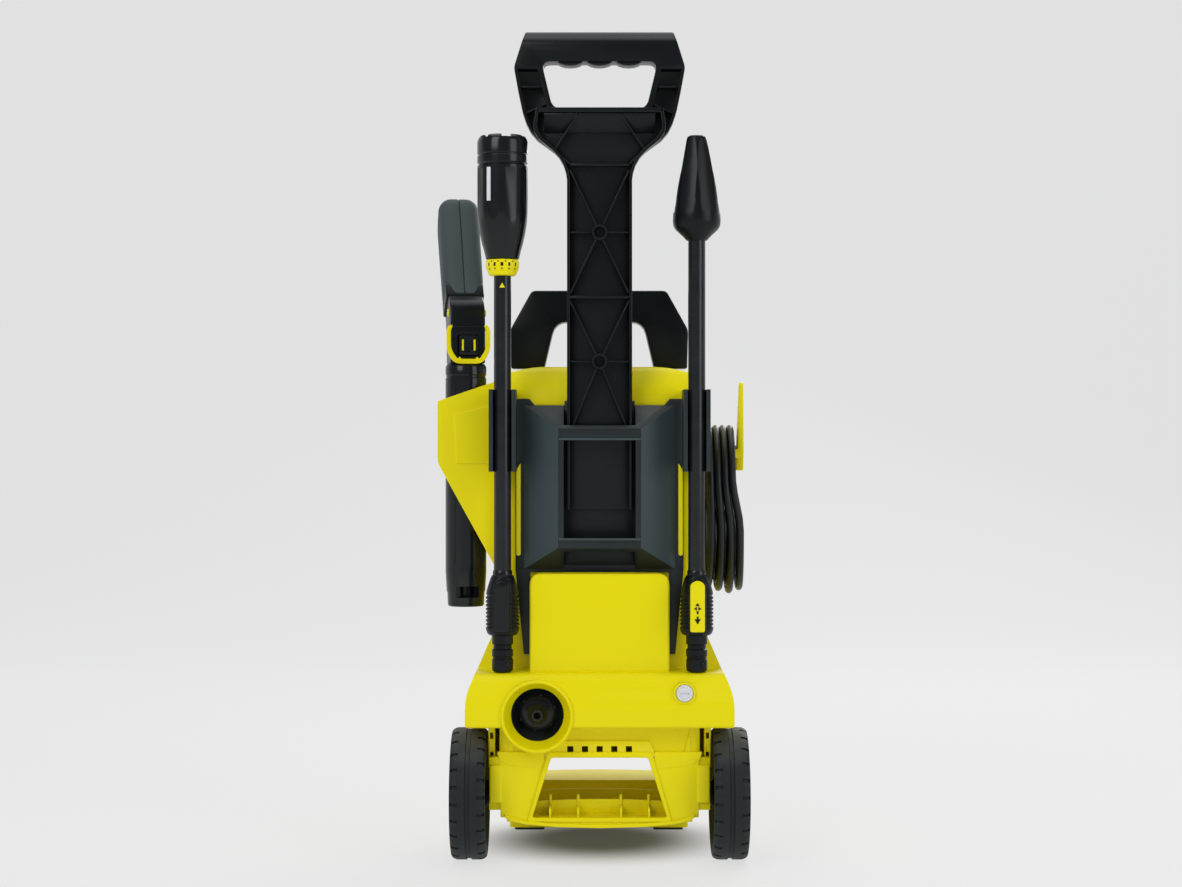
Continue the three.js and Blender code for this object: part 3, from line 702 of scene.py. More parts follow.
def water_funnel():
    """The smooth flared mouth round the water connector, and a glossy black band inside it as painted shade.
    """
    centre = at(FUNNEL_X, FUNNEL_MOUTH, FUNNEL_Z)
    profile = [(33.2, 12), (33.9, 6), (34.0, 1.5), (33.4, 0), (32.2, -0.8), (31.0, -0.5), (30.2, 0.8),
               (29.6, 3), (27.6, 9), (21.5, 22),
               (15.2, 35.0), (12.0, 36.6), (12.0, 39), (17.5, 39.5), (23.0, 28), (33.2, 12)]
    mouth = turned("funnel_mouth", profile, centre, "y", 96)
    finish_piece(mouth, "casing", YELLOW, "yellow_plastic")
    # Painted shade: a glossy black band on the funnel's inner wall stands for the shadow inside the mouth.
    painted_shade_band = [(24.0, 16.2), (24.6, 15.6), (25.0, 16.2), (15.9, 34.4), (15.2, 34.4), (24.0, 16.2)]
    finish_piece(turned("funnel_painted_shade", painted_shade_band, centre, "y", 96), "casing", GLOSS_BLACK, "black_plastic")


def water_connector():
    """The threaded inlet stub with its ribbed collar."""
    centre = at(FUNNEL_X, FUNNEL_MOUTH, FUNNEL_Z)
    profile = [(2.8, 24), (2.8, 8.6), (3.4, 7.6), (5.0, 7.6), (5.8, 8.4), (5.8, 12), (6.4, 13), (7.6, 14),
               (7.6, 18.5), (9.3, 19.6), (9.3, 22)]
    for turn in range(5):
        z = 22 + turn * 1.7
        profile += [(11.2, z + 0.3), (12.2, z + 0.6), (12.2, z + 1.0), (11.2, z + 1.4)]
    profile += [(16.2, 30.5), (17.2, 31.3), (17.2, 34), (13, 36.5), (10, 37.5), (10, 46), (2.8, 46),
                (2.8, 24)]
    stub = turned("inlet_stub", profile, centre, "y", 72)
    finish_piece(stub, "casing", GLOSS_BLACK, "black_plastic", "inlet_connector")
    for i in range(6):
        t = math.radians(60 * i + 20)
        x, z = FUNNEL_X + 17 * math.cos(t), FUNNEL_Z + 17 * math.sin(t)
        rib = block("inlet_rib_%d" % i, (x - 1.4, FUNNEL_MOUTH + 30.4, z - 1.4),
                    (x + 1.4, FUNNEL_MOUTH + 35, z + 1.4), 0.5)
        finish_piece(rib, "casing", GLOSS_BLACK, "black_plastic")


def hull(name, inset, edge):
    """The casing's moulding: its outline from behind crossed with its outline from the side."""
    i = inset
    behind = both_sides([(101 - i, 99 + i, 3), (101 - i, 128 + i), (124 - i, 128 + i, 3.5),
                         (124 - i, 157, 13), (97 - i, 219, 13), (97 - i, 455 - i, 18), (60, 463 - i, 12)])
    aside = [(-90 + i, 99 + i, 3), (95 - i, 99 + i, 10), (95 - i, 408, 34), (67 - i, 463 - i, 16),
             (-45 + i, 463 - i, 8), (-62 + i, 437, 12), (-62 + i, 178 - i, 2.5), (-106 + i, 178 - i, 7),
             (-112 + i, 150, 14), (-112 + i, 128 + i, 3.5), (-90 + i, 128 + i)]
    body = slab(name, rounded_outline(behind), -140, 120)
    combined(body, slab(name + "_aside", rounded_outline(aside), -150, 150, "x"), "INTERSECT")
    return rounded(body, edge, 4, 28) if edge else body


def casing():
    """The two yellow halves, hollow, with the guide cover, the vents and the ports."""
    outside = hull("casing_rear", 0, 2.6)
    cover = slab("guide_cover", rounded_outline(both_sides([(65, 168), (65, 269, 11)])), -91, -50, "y", 2.4,
                 4)
    combined(outside, cover)
    band = slab("vent_band", rounded_outline(both_sides([(52, 99.6, 1), (47, 114, 3)])), -93.4, -80, "y",
                1.2, 3)
    combined(outside, band)
    for side in (-1, 1):
        cheek = slab("cheek", rounded_outline([(side * 78, 101, 3), (side * 94, 101, 3), (side * 94, 124, 3),
                                               (side * 84, 126, 3)]), -91.6, -80, "y", 1, 3)
        combined(outside, cheek)
    combined(outside, drill("funnel_seat", "y", 31.8, FUNNEL_MOUTH + 1.5, -60, (FUNNEL_X, 0, FUNNEL_Z), 96))
    room = hull("room", 3, 0)
    combined(room, slab("cover_room", rounded_outline(both_sides([(62, 172), (62, 266, 8)])), -88, -50))
    mouth = at(FUNNEL_X, FUNNEL_MOUTH, FUNNEL_Z)
    combined(room, turned("funnel_block", [(0, -20), (33.8, -20), (33.8, 12), (24, 28), (18.6, 40.5),
                                           (0, 40.5)], mouth, "y", 64), "DIFFERENCE")
    carved(outside, room)
    cuts = [turned("funnel_bore", [(0, -20), (31, -20), (31, 11.6), (21.6, 27), (14.6, 37), (0, 37)], mouth,
                   "y", 96),
            drill("inlet_bore", "y", 11, -140, 0, (FUNNEL_X, 0, FUNNEL_Z)),
            drill("dosing_bore", "y", 8.3, -140, -92, (78, 0, 160.5)),
            drill("outlet_bore", "y", 12, 40, 140, (0, 0, 150)),
            drill("switch_bore", "y", 8, 40, 140, (0, 0, 300)),
            drill("gland_bore", "x", 7.3, 60, 140, (0, 78, 263)),
            block("channel", (-33.5, -86.5, 257), (33.5, -65.5, 275))]
    for i in range(-2, 3):
        cuts.append(slab("vent_%d" % i, rounded_outline([(i * 13.6 - 2.9, 103.4, 0.8),
                                                         (i * 13.6 + 2.9, 103.4, 0.8),
                                                         (i * 13.6 + 2.9, 109.4, 0.8),
                                                        (i * 13.6 - 2.9, 109.4, 0.8)]), -140, -82))
    for side in (-1, 1):
        for i in range(7):
            z = 205 + i * 9.5
            cuts.append(slab("side_vent", rounded_outline([(38, z, 1.4), (76, z, 1.4), (76, z + 4, 1.4),
                                                           (38, z + 4, 1.4)]),
                             side * 90, side * 130, "x"))
    for side in (-1, 1):
        corner = [(side * x, y) for x, y in [(101.6, -92), (101.6, -72), (96.5, -72), (96.5, -79),
                                             (95.4, -84), (92.6, -87.6), (88.6, -89.6), (84, -90.3),
                                             (84, -92)]]
        cuts.append(slab("corner", corner, 90, 127.8, "z"))
    carved(outside, *cuts)
    front = outside.copy()
    front.data = outside.data.copy()
    front.name = "casing_front"
    bpy.context.scene.collection.objects.link(front)
    for half, keep_rear, node in ((outside, True, "rear_shell"), (front, False, "front_shell")):
        only(half)
        bpy.ops.object.mode_set(mode="EDIT")
        bpy.ops.mesh.select_all(action="SELECT")
        seam = at(0, 7.85 if keep_rear else 8.15, 0)
        bpy.ops.mesh.bisect(plane_co=seam, plane_no=(0, 1, 0), use_fill=True, clear_outer=keep_rear,
                            clear_inner=not keep_rear)
        bpy.ops.object.mode_set(mode="OBJECT")
        bpy.ops.object.shade_smooth_by_angle(angle=math.radians(34))
        finish_piece(half, "casing", YELLOW, "yellow_plastic", node)


def chassis():
    """The frame's rim round the rear opening, and the tray's walls inside it."""
    softened("chassis", "base_frame", "casing", YELLOW, "yellow_plastic", 1.0)
    rim_out = [(67.5, 39.5, 3), (48.5, 104, 2), (-48.5, 104, 2), (-67.5, 39.5, 3)]
    rim = slab("opening_rim", rounded_outline(rim_out), -96, -93.2, "y")
    hole = slab("opening", rounded_outline([(62.6, 43.2, 3), (44.8, 98.8, 2), (-44.8, 98.8, 2),
                                            (-62.6, 43.2, 3)]), -99, -90, "y")
    carved(rim, hole)
    rounded(rim, 1.1, 3)
    finish_piece(rim, "casing", YELLOW, "yellow_plastic")
    low = [(0, 33.6), (40, 34.6), (68, 37), (82, 40), (88, 43.5)]
    lip = slab("chassis_lip", [(-x, z) for x, z in reversed(low[1:])] + low + [(x, z + 3.4) for x,
            z in reversed(low)]
               + [(-x, z + 3.4) for x, z in low[1:]], -96.4, -92.5, "y", 1.1, 3)
    finish_piece(lip, "casing", YELLOW, "yellow_plastic")
    for sign in (-1, 1):
        hem = [(sign * x, z) for x, z in [(50.6, 88.7), (64, 88.9), (77, 89.8), (88, 92.8), (93.6, 97.4),
                                          (95, 104), (51, 104)]]
        finish_piece(slab("casing_hem_%d" % (sign + 1), hem, -94.4, -88.2, "y", 1.0, 3), "casing", YELLOW,
                     "yellow_plastic")
        sides = sorted((sign * 90.6, sign * 102.4))
        housing = block("axle_housing_%d" % (sign + 1), (sides[0], -95.2, 57), (sides[1], -90.5, 91.6), 1.6,
                        3)
        finish_piece(housing, "casing", YELLOW, "yellow_plastic")
        ends = sorted((sign * 97.2, sign * 103.6))
        bracket = block("axle_bracket_%d" % (sign + 1), (ends[0], -86, 88), (ends[1], -58, 127.4), 1.2, 3)
        slots = [block("slot", (ends[0] + 1.6, -100, z), (ends[1] - 1.6, -62, z + 6), 0) for z in (97, 115)]
        finish_piece(carved(bracket, *slots), "casing", YELLOW, "yellow_plastic")
    wall = slab("tray_wall", rounded_outline([(-82, 41), (82, 41), (82, 52, 4), (30, 55.4, 30),
                                              (-30, 55.4, 30), (-82, 52, 4)]), -63, -60.5, "y", 0.8)
    finish_piece(wall, "casing", YELLOW, "yellow_plastic")
    far_wall = slab("tray_far_wall", rounded_outline([(-82, 41), (82, 41), (82, 51, 4), (30, 54.6, 30),
                                                      (-30, 54.6, 30), (-82, 51, 4)]), 8, 10.5, "y", 0.8)
    finish_piece(far_wall, "casing", YELLOW, "yellow_plastic")
    for n, x in enumerate((-46, -20, 20, 46)):
        fin = block("tray_rib_%d" % n, (x - 1, -90, 41), (x + 1, -61, 51), 0.5)
        finish_piece(fin, "casing", YELLOW, "yellow_plastic")
        tab = block("tray_tab_%d" % n, (x - 1.2, -65, 50), (x + 1.2, -62.6, 60), 0.5)
        finish_piece(tab, "casing", YELLOW, "yellow_plastic")


def casing_parts():
    casing()
    chassis()
    softened("holster", "gun_holster", "casing", YELLOW, "yellow_plastic", 2.0)
    softened("hook", "cable_hook", "casing", YELLOW, "yellow_plastic", 1.5)
    handle = copy_of("lifting_handle", "carry_handle")
    carved(handle, slab("slope", [(12, 497), (18, 505), (27.5, 545), (12, 545)], -120, 120, "x"))
    finish_piece(rounded(handle, 2.2, 4, 20), "casing", BLACK, "black_plastic", "carry_handle")
    softened("front_facing", "front_panel", "casing", SLATE, "slate_plastic", 1.2)
    water_funnel()
    water_connector()


casing_parts()

# --- wheels ---------------------------------------------------------------------------------------


def wheel(side, sign):
    """A hard rubber wheel: two rows of tread blocks, a dished side with spokes, and a capped hub."""
    body = "wheel_" + side
    centre = at(sign * 121.7, AXLE_DEPTH / MM, 61.5)
    profile = [(6.4, -18.5), (11, -18.5), (11.6, -17.9), (11.8, -16), (20, -12.6), (42.5, -12.6),
               (47, -15.2), (48.5, -16.2), (56.5, -16.5), (58.6, -16.2), (60.2, -14.6), (61.3, -11.8),
               (61.5, -9), (61.5, -2.4), (60.3, -1.9), (60.3, 1.9), (61.5, 2.4), (61.5, 9), (61.3, 11.8),
               (60.2, 14.6), (58.6, 16.2), (56.5, 16.5), (48.5, 16.2), (47, 15.2), (42.5, 10), (20, 10),
               (17.6, 15.4), (16.6, 16.5), (16.5, 12), (6.4, 12), (6.4, -18.5)]
    tyre = turned("tyre_" + side, [(r, sign * h) for r, h in profile], centre, "x", 120)
    mesh = tyre.data
    for polygon in mesh.polygons:
        polygon.select = False
    for edge in mesh.edges:
        edge.select = False
    for vertex in mesh.vertices:
        vertex.select = False
    for polygon in mesh.polygons:
        reach = polygon.center - centre
        radius = math.hypot(reach.y, reach.z) / MM
        across = abs(reach.x) / MM
        turn = math.degrees(math.atan2(reach.z, reach.y)) % 360
        step = int(turn / 3) + (2 if reach.x > 0 else 0)
        polygon.select = radius > 58.8 and 7 < across < 15.6 and step % 5 == 0
    only(tyre)
    bpy.ops.object.mode_set(mode="EDIT")
    bpy.ops.mesh.select_mode(type="FACE")
    bpy.ops.mesh.extrude_region_move()
    bpy.ops.transform.shrink_fatten(value=-1.6 * MM)
    bpy.ops.object.mode_set(mode="OBJECT")
    bpy.ops.object.shade_smooth_by_angle(angle=math.radians(35))
    finish_piece(tyre, body, TYRE, "wheel_rubber", "wheel_" + side)
    cap = turned("hub_cap_cover_" + side, [(r, sign * h) for r,
                                           h in [(0, 12.6), (14.6, 12.6), (16.2, 13.4), (16.2, 14.6),
                                                 (15, 15.8), (13, 16.6),
                                                                    (12, 16.4), (11, 16.9), (6, 17.6),
                                                                    (0, 17.8)]], centre, "x", 64)
    finish_piece(cap, body, SLATE, "slate_plastic", "hub_cap_" + side)
    for i in range(8):
        spoke = block("spoke_%s_%d" % (side, i), (-1.5, 16, -1.5), (1.5, 46, 1.5), 0.7)
        spoke.data.transform(Matrix.Translation(centre + Vector((sign * 11.2 * MM, 0, 0)))
                             @ Matrix.Rotation(math.radians(45 * i), 4,
                                               "X") @ Matrix.Translation(-at(0, 0, 0)))
        finish_piece(spoke, body, TYRE, "wheel_rubber")


wheel("left", -1)
wheel("right", 1)

# --- handles --------------------------------------------------------------------------------------

RAIL_REAR, RAIL_WEB = -82, -70


def rib(name, start, end, rear, front, thick, body, material, slot):
    """A straight upright rib seen from the rear, between two points of the x-z plane."""
    (x0, z0), (x1, z1) = start, end
    length = math.hypot(x1 - x0, z1 - z0)
    nx, nz = -(z1 - z0) / length * thick / 2, (x1 - x0) / length * thick / 2
    made = slab(name, [(x0 + nx, z0 + nz), (x1 + nx, z1 + nz), (x1 - nx, z1 - nz), (x0 - nx, z0 - nz)], rear,
                front, "y", 0.35, 2)
    return finish_piece(made, body, material, slot)


def pull_handle():
    """The telescopic handle: a channel open to the rear with crossing ribs and bosses, and its grip."""
    outer = [(30.4, 328), (30.4, 450), (30.4, 560), (30.4, 636), (31.4, 643), (33.6, 650), (37.6, 657),
             (43.6, 663.5), (51, 669.4), (57, 674.5), (61, 680.5), (62, 688), (59.6, 703)]
    inner = [(27.6, 328), (27.6, 450), (27.6, 560), (27.6, 637), (29, 645), (31.6, 652), (35.6, 659),
             (41.4, 665.6), (48.6, 671.8), (54.2, 677), (57.6, 683), (58.2, 688), (56.4, 703)]
    walls = [slab("handle_body", both_sides(outer), RAIL_WEB, -67, "y", 0.6, 2),
             slab("neck_rim", rounded_outline([(-59.6, 699), (59.6, 699), (59.4, 703.6, 2),
                                               (-59.4, 703.6, 2)]), RAIL_REAR, -67, "y", 0.8, 2)]
    for sign in (-1, 1):
        strip = [(sign * x, z) for x, z in outer] + [(sign * x, z) for x, z in reversed(inner)]
        walls.append(slab("rail_side", strip, RAIL_REAR, -67.2, "y", 0.8, 3))
    web = joined("handle_body", walls)
    outline = [(34, 657), (43.6, 663.5), (51, 669.4), (57.8, 674.5), (64.5, 682.5), (69, 691.5), (72.4, 702),
               (76, 719), (80.4, 743, 4), (69.4, 778, 2.5)]
    grip = slab("grip", rounded_outline(both_sides(outline)), -76, -40)
    top = rounded_outline([(-69.5, 640), (-64.8, 640), (-64.8, 659), (-47.4, 687), (-46, 694), (-46, 778, 9),
                           (-60, 778, 4), (-69.5, 768, 4)])
    combined(grip, slab("grip_side", top, -100, 100, "x"), "INTERSECT")
    hole = [(44, 704, 9), (54.6, 748.5, 9)]
    opening = slab("grip_opening", rounded_outline(both_sides(hole), 8), -100, -20)
    hollows = []
    for sign in (-1, 1):
        hollow = [(sign * x, z) for x, z in [(61.5, 684), (66, 692), (69.4, 702), (73, 719), (76.8, 741.5),
                                             (58.2, 741.5), (54.4, 726), (49.5, 706),
                                              (60, 703)]]
        hollows.append(slab("arm_hollow", hollow, -90, -52))
    carved(grip, opening, *hollows)
    rounded(grip, 1.3, 3, 26)
    finish_piece(web, "pull_handle", BLACK, "black_plastic", "pull_handle")
    finish_piece(grip, "pull_handle", BLACK, "black_plastic")
    face = slab("neck_face", [(-80.6, 698.5), (-80.6, 696.5), (-71, 681), (-69.4, 681), (-69.4, 698.5)], -52,
                52, "x", 0.3)
    finish_piece(face, "pull_handle", BLACK, "black_plastic")
    given = ("pull_handle", BLACK, "black_plastic")
    edge = 27.4
    for n, z in enumerate((650, 526.5)):
        rib("cross_rib_%d" % n, (-edge, z), (edge, z), RAIL_REAR + 0.4, RAIL_WEB + 0.3, 2.4, *given)
    bosses = [(587, 645, 530), (466.5, 523, 400)]
    for n, (z, above, below) in enumerate(bosses):
        ring = turned("rib_boss_%d" % n, [(5.2, 0), (7.4, 0), (7.6, 0.4), (7.6, 12), (5.0, 12), (5.0, 0.4),
                                          (5.2, 0)], at(0, RAIL_REAR + 0.2, z), "y", 40)
        finish_piece(ring, *given)
        for sign in (-1, 1):
            rib("level_rib_%d_%d" % (n, sign + 1), (sign * 7, z), (sign * edge, z), RAIL_REAR + 2,
                RAIL_WEB + 0.3, 1.5, *given)
            for m, far in enumerate((above, below)):
                way = Vector((edge * sign, far - z)).normalized() * 7
                rib("slant_rib_%d_%d_%d" % (n, sign + 1, m), (way.x, z + way.y), (sign * edge, far),
                    RAIL_REAR + 1, RAIL_WEB + 0.3, 1.6, *given)
    for sign in (-1, 1):
        rib("brace_%d" % (sign + 1), (sign * 19, 699), (sign * 42, 664), RAIL_REAR + 1.4, RAIL_WEB + 0.3,
            1.6, *given)
        rib("low_brace_%d" % (sign + 1), (sign * 42, 664), (sign * 28, 651), RAIL_REAR + 1.4, RAIL_WEB + 0.3,
            1.6, *given)
        rib("arm_rib_%d" % (sign + 1), (sign * 53.6, 725), (sign * 75, 725), -67, -51.6, 1.5, *given)
        rib("arm_brace_%d" % (sign + 1), (sign * 49, 709), (sign * 70, 700), -67, -51.6, 1.5, *given)
    for n, x in enumerate((-27.5, 0, 27.5)):
        wave = slab("finger_wave_%d" % n, [(x - 12, 748.4), (x - 9, 746.6), (x - 5, 745.4), (x, 745.0),
                                           (x + 5, 745.4), (x + 9, 746.6), (x + 12, 748.4)],
                    -67.5, -48.5, "y", 0.6)
        finish_piece(wave, *given)


pull_handle()

# --- lances ---------------------------------------------------------------------------------------

LANCE_X, LANCE_Y = 90, -94


def ring_of(count, start=0.0):
    """Evenly spaced directions round an upright axis, in degrees."""
    return [start + 360 * i / count for i in range(count)]


def standing(name, x, angle, radius, z0, z1, wide, deep, edge, axis_y=LANCE_Y):
    """A small upright bar lying on a round surface, at an angle from the rear, turned with it."""
    bar = block(name, (-wide / 2, -deep / 2, z0), (wide / 2, deep / 2, z1), edge)
    t = math.radians(angle)
    turn = Matrix.Translation(at(x, axis_y, 0)) @ Matrix.Rotation(t, 4,
            "Z") @ Matrix.Translation(Vector((0, -radius * MM, 0)))
    bar.data.transform(turn @ Matrix.Translation(-at(0, 0, 0)))
    return bar


def lance_foot(name, x, inset_material, inset_slot):
    """The bayonet stub, the ribbed sleeve with its inset, and the tube."""
    body = name + "_lance"
    centre = at(x, LANCE_Y, 0)
    stub = turned(name + "_stub", [(0, 178.6), (7.6, 178.6), (9.2, 179.4), (9.9, 181.6), (9.9, 190),
                                   (9.2, 190.8), (9.2, 192.6), (9.9, 193.4),
                                   (9.9, 199), (8.6, 200), (8.6, 203.5), (9.9, 204.5), (9.9, 213), (0, 213)],
                  centre, "z", 64)
    pegs = [standing("peg", x, a, 9.6, 183, 188, 5, 3, 0.8) for a in (35, 215)]
    finish_piece(joined(name + "_stub", [stub, *pegs]), body, BLACK, "black_plastic", name + "_connector")
    profile = [(0, 212.6), (12.2, 212.6), (14, 214), (15.2, 217)]
    for i in range(9):
        z = 218.4 + i * 3.5
        profile += [(15.5, z), (15.5, z + 1.5), (14.3, z + 2.0), (14.3, z + 3.0)]
    profile += [(15.2, 250.5), (14.6, 254), (12.9, 260), (11.2, 265), (10, 267.6), (8.6, 268.6), (0, 268.6)]
    sleeve = turned(name + "_ribbed_sleeve", profile, centre, "z", 64)
    finish_piece(sleeve, body, BLACK, "black_plastic", name + "_sleeve")
    frame_outline = rounded_outline([(x - 8.4, 214.6, 3), (x + 8.4, 214.6, 3), (x + 8.4, 262, 10),
                                     (x, 267.4, 4), (x - 8.4, 262, 10)])
    surround = slab(name + "_inset_surround", frame_outline, LANCE_Y - 16.9, LANCE_Y - 8, "y", 1.0, 3)
    finish_piece(surround, body, BLACK, "black_plastic")
    plate = rounded_outline([(x - 6.8, 216.4, 2), (x + 6.8, 216.4, 2), (x + 6.8, 261, 9), (x, 264.4, 3),
                             (x - 6.8, 261, 9)])
    inset = slab(name + "_inset_plate", plate, LANCE_Y - 18.1, LANCE_Y - 15, "y", 0.9, 3)
    finish_piece(inset, body, inset_material, inset_slot, name + "_inset")
    top = 545 if name == "vario" else 578
    tube = turned(name + "_pipe", [(0, 266.5), (8, 266.5), (8, top), (0, top)], centre, "z", 64)
    collar = turned("collar", [(7.8, 268), (9, 268), (9, 271.5), (8.4, 272.6), (7.8, 272.6), (7.8, 268)],
                    centre, "z", 64)
    finish_piece(joined(name + "_pipe", [tube, collar]), body, GLOSS_BLACK, "black_plastic", name + "_tube")


def plain_mark(name, x, y, points, body, material, slot, deep=0.5):
    """A small raised moulded mark on a face that looks to the rear."""
    mark = slab(name, [(x + u, v) for u, v in points], y - deep, y + 1.2, "y", 0.15, 1)
    return finish_piece(mark, body, material, slot)


def vario_lance():
    lance_foot("vario", -LANCE_X, GLOSS_BLACK, "black_plastic")
    centre = at(-LANCE_X, LANCE_Y, 0)
    ring = turned("scale_ring", [(0, 545.2), (10.5, 545.2), (12.4, 546), (13.2, 548), (15.2, 552.6),
                                 (15.5, 554), (15.5, 559.2), (14.8, 560), (0, 560)],
                  centre, "z", 96)
    finish_piece(ring, "vario_head", YELLOW, "yellow_plastic", "vario_ring")
    for n, angle in enumerate((-52, -26, 0, 26, 52)):
        size = 1.6 + 0.5 * (2 - abs(n - 2))
        mark = standing("scale_mark_%d" % n, -LANCE_X, angle, 15.2, 553.6, 553.6 + 3.4, size, 1.0, 0.2)
        finish_piece(mark, "vario_head", BLACK, "black_plastic")
        tick = standing("scale_tick_%d" % n, -LANCE_X, angle, 14.7, 550.4, 552.2, 0.9, 1.0, 0.2)
        finish_piece(tick, "vario_head", BLACK, "black_plastic")
    for n, angle in enumerate((-39, -13, 13, 39)):
        tick = standing("scale_point_%d" % n, -LANCE_X, angle, 15.2, 557.3, 558.7, 1.2, 0.9, 0.2)
        finish_piece(tick, "vario_head", BLACK, "black_plastic")
    plain_mark("pipe_pointer", -LANCE_X, LANCE_Y - 8, [(0, 538.5), (-2.6, 534), (2.6, 534)],
                         "vario_lance", YELLOW, "yellow_plastic", 0.4)
    head = turned("turning_head", [(0, 560), (14, 560), (15.4, 561.2), (17, 568), (19, 575), (21, 584),
                                   (22.6, 594), (23.3, 604), (23.5, 618), (23.5, 646.5), (22.6, 647.4),
                                   (22.2, 648), (22.6, 648.8), (23.5, 649.6), (23.5, 655.5), (22.8, 656.4),
                                   (22.8, 657.2), (23.5, 658), (23.5, 668.5), (22.7, 671.6), (21.2, 674),
                                   (19.6, 674.8), (17.4, 674.6), (16.2, 673), (15.6, 668), (15.2, 656),
                                   (9.3, 655.4), (0, 655.2)], centre, "z", 96)
    notches = []
    for n, angle in enumerate(ring_of(6, 12)):
        notches.append(standing("notch", -LANCE_X, angle, 21, 672.2, 682, 9, 14, 0))
    for n, angle in enumerate(ring_of(9, 20)):
        notches.append(standing("flute", -LANCE_X, angle, 25.2, 588, 644, 9.5, 5.0, 0))
    carved(head, *notches)
    only(head)
    bpy.ops.object.shade_smooth_by_angle(angle=math.radians(32))
    finish_piece(head, "vario_head", GLOSS_BLACK, "black_plastic", "vario_head")
    stripe = standing("white_index", -LANCE_X, -31, 23.0, 613, 644, 3.8, 1.6, 0.3)
    finish_piece(stripe, "vario_head", WHITE, "white_plastic")
    jet = turned("vario_jet", [(0, 655.5), (9, 655.5), (9, 664), (8, 668.6), (4.5, 668.8), (2.6, 663),
                               (0, 662)], centre, "z", 48)
    finish_piece(jet, "vario_head", BRASS, "brass", "vario_nozzle")


def blaster_lance():
    lance_foot("blaster", LANCE_X, YELLOW, "yellow_plastic")
    face = LANCE_Y - 18.1
    marks = {"open_wing_left": [(-3.6, 238), (-0.6, 240), (-0.6, 236.4)],
             "open_wing_right": [(3.6, 238), (0.6, 236.4), (0.6, 240)],
             "open_tip": [(0, 243.4), (-2.2, 240.6), (2.2, 240.6)],
             "open_stem": [(-0.9, 233.2), (0.9, 233.2), (0.9, 236), (-0.9, 236)],
             "close_tip": [(0, 223.6), (2.9, 228.6), (-2.9, 228.6)],
             "close_stem": [(-0.9, 228.6), (0.9, 228.6), (0.9, 231), (-0.9, 231)]}
    for name, outline in marks.items():
        plain_mark(name, LANCE_X, face, outline, "blaster_lance", BLACK, "black_plastic", 0.35)
    centre = at(LANCE_X, LANCE_Y, 0)
    head = turned("blaster_cowl", [(0, 578), (9.2, 578), (10.4, 579), (12, 581), (19.6, 588), (21.6, 591.5),
                                   (22.2, 596), (22, 601), (21.4, 608),
                                   (20.6, 616), (19.2, 627), (17.2, 639), (14.8, 651), (12.2, 662),
                                   (9.8, 671), (8.6, 674), (7.2, 675), (6, 674.6),
                                   (5.4, 672), (5.2, 660.2), (0, 660.1)], centre, "z", 96)
    cuts = []
    for angle in ring_of(6, 30):
        pane = standing("pane", LANCE_X, angle, 0, 600, 684, 16, 8, 0)
        lean = Matrix.Translation(at(LANCE_X, LANCE_Y, 600))
        turn = lean @ Matrix.Rotation(math.radians(angle), 4, "Z")
        tilt = Matrix.Rotation(math.radians(-9.7), 4, "X")
        away = Matrix.Translation(Vector((0, -25.3 * MM, 0)))
        back = Matrix.Rotation(math.radians(-angle), 4, "Z") @ Matrix.Translation(-at(LANCE_X, LANCE_Y, 600))
        pane.data.transform(turn @ tilt @ away @ back)
        cuts.append(pane)
    carved(head, *cuts)
    only(head)
    bpy.ops.object.shade_smooth_by_angle(angle=math.radians(30))
    finish_piece(head, "blaster_lance", BLACK, "black_plastic", "blaster_head")
    eye = turned("blaster_jet", [(0, 660.6), (4, 660.6), (4, 669), (2.8, 672.6), (1.4, 672.6), (1.2, 668),
                                 (0, 668)], centre, "z", 40)
    finish_piece(eye, "blaster_rotor", BRASS, "brass", "blaster_rotor")


vario_lance()
blaster_lance()

# --- spray gun ------------------------------------------------------------------------------------

GUN_X, GUN_Y = -127.5, -30
GUN_TURN = math.radians(10)


def by_the_gun(piece):
    """Turn a piece drawn about the barrel's axis outwards with the gun."""
    axis = at(GUN_X, GUN_Y, 0)
    piece.data.transform(Matrix.Translation(axis) @ Matrix.Rotation(GUN_TURN, 4,
            "Z") @ Matrix.Translation(-axis))
    return piece


def gun_slab(name, outline, near, far, axis, edge, steps=3):
    """A plate of the gun, its outline given from the barrel's axis."""
    if axis == "x":
        return slab(name, [(GUN_Y + u, v) for u, v in outline], GUN_X + near, GUN_X + far, "x", edge, steps)
    return slab(name, [(GUN_X + u, v) for u, v in outline], GUN_Y + near, GUN_Y + far, "y", edge, steps)


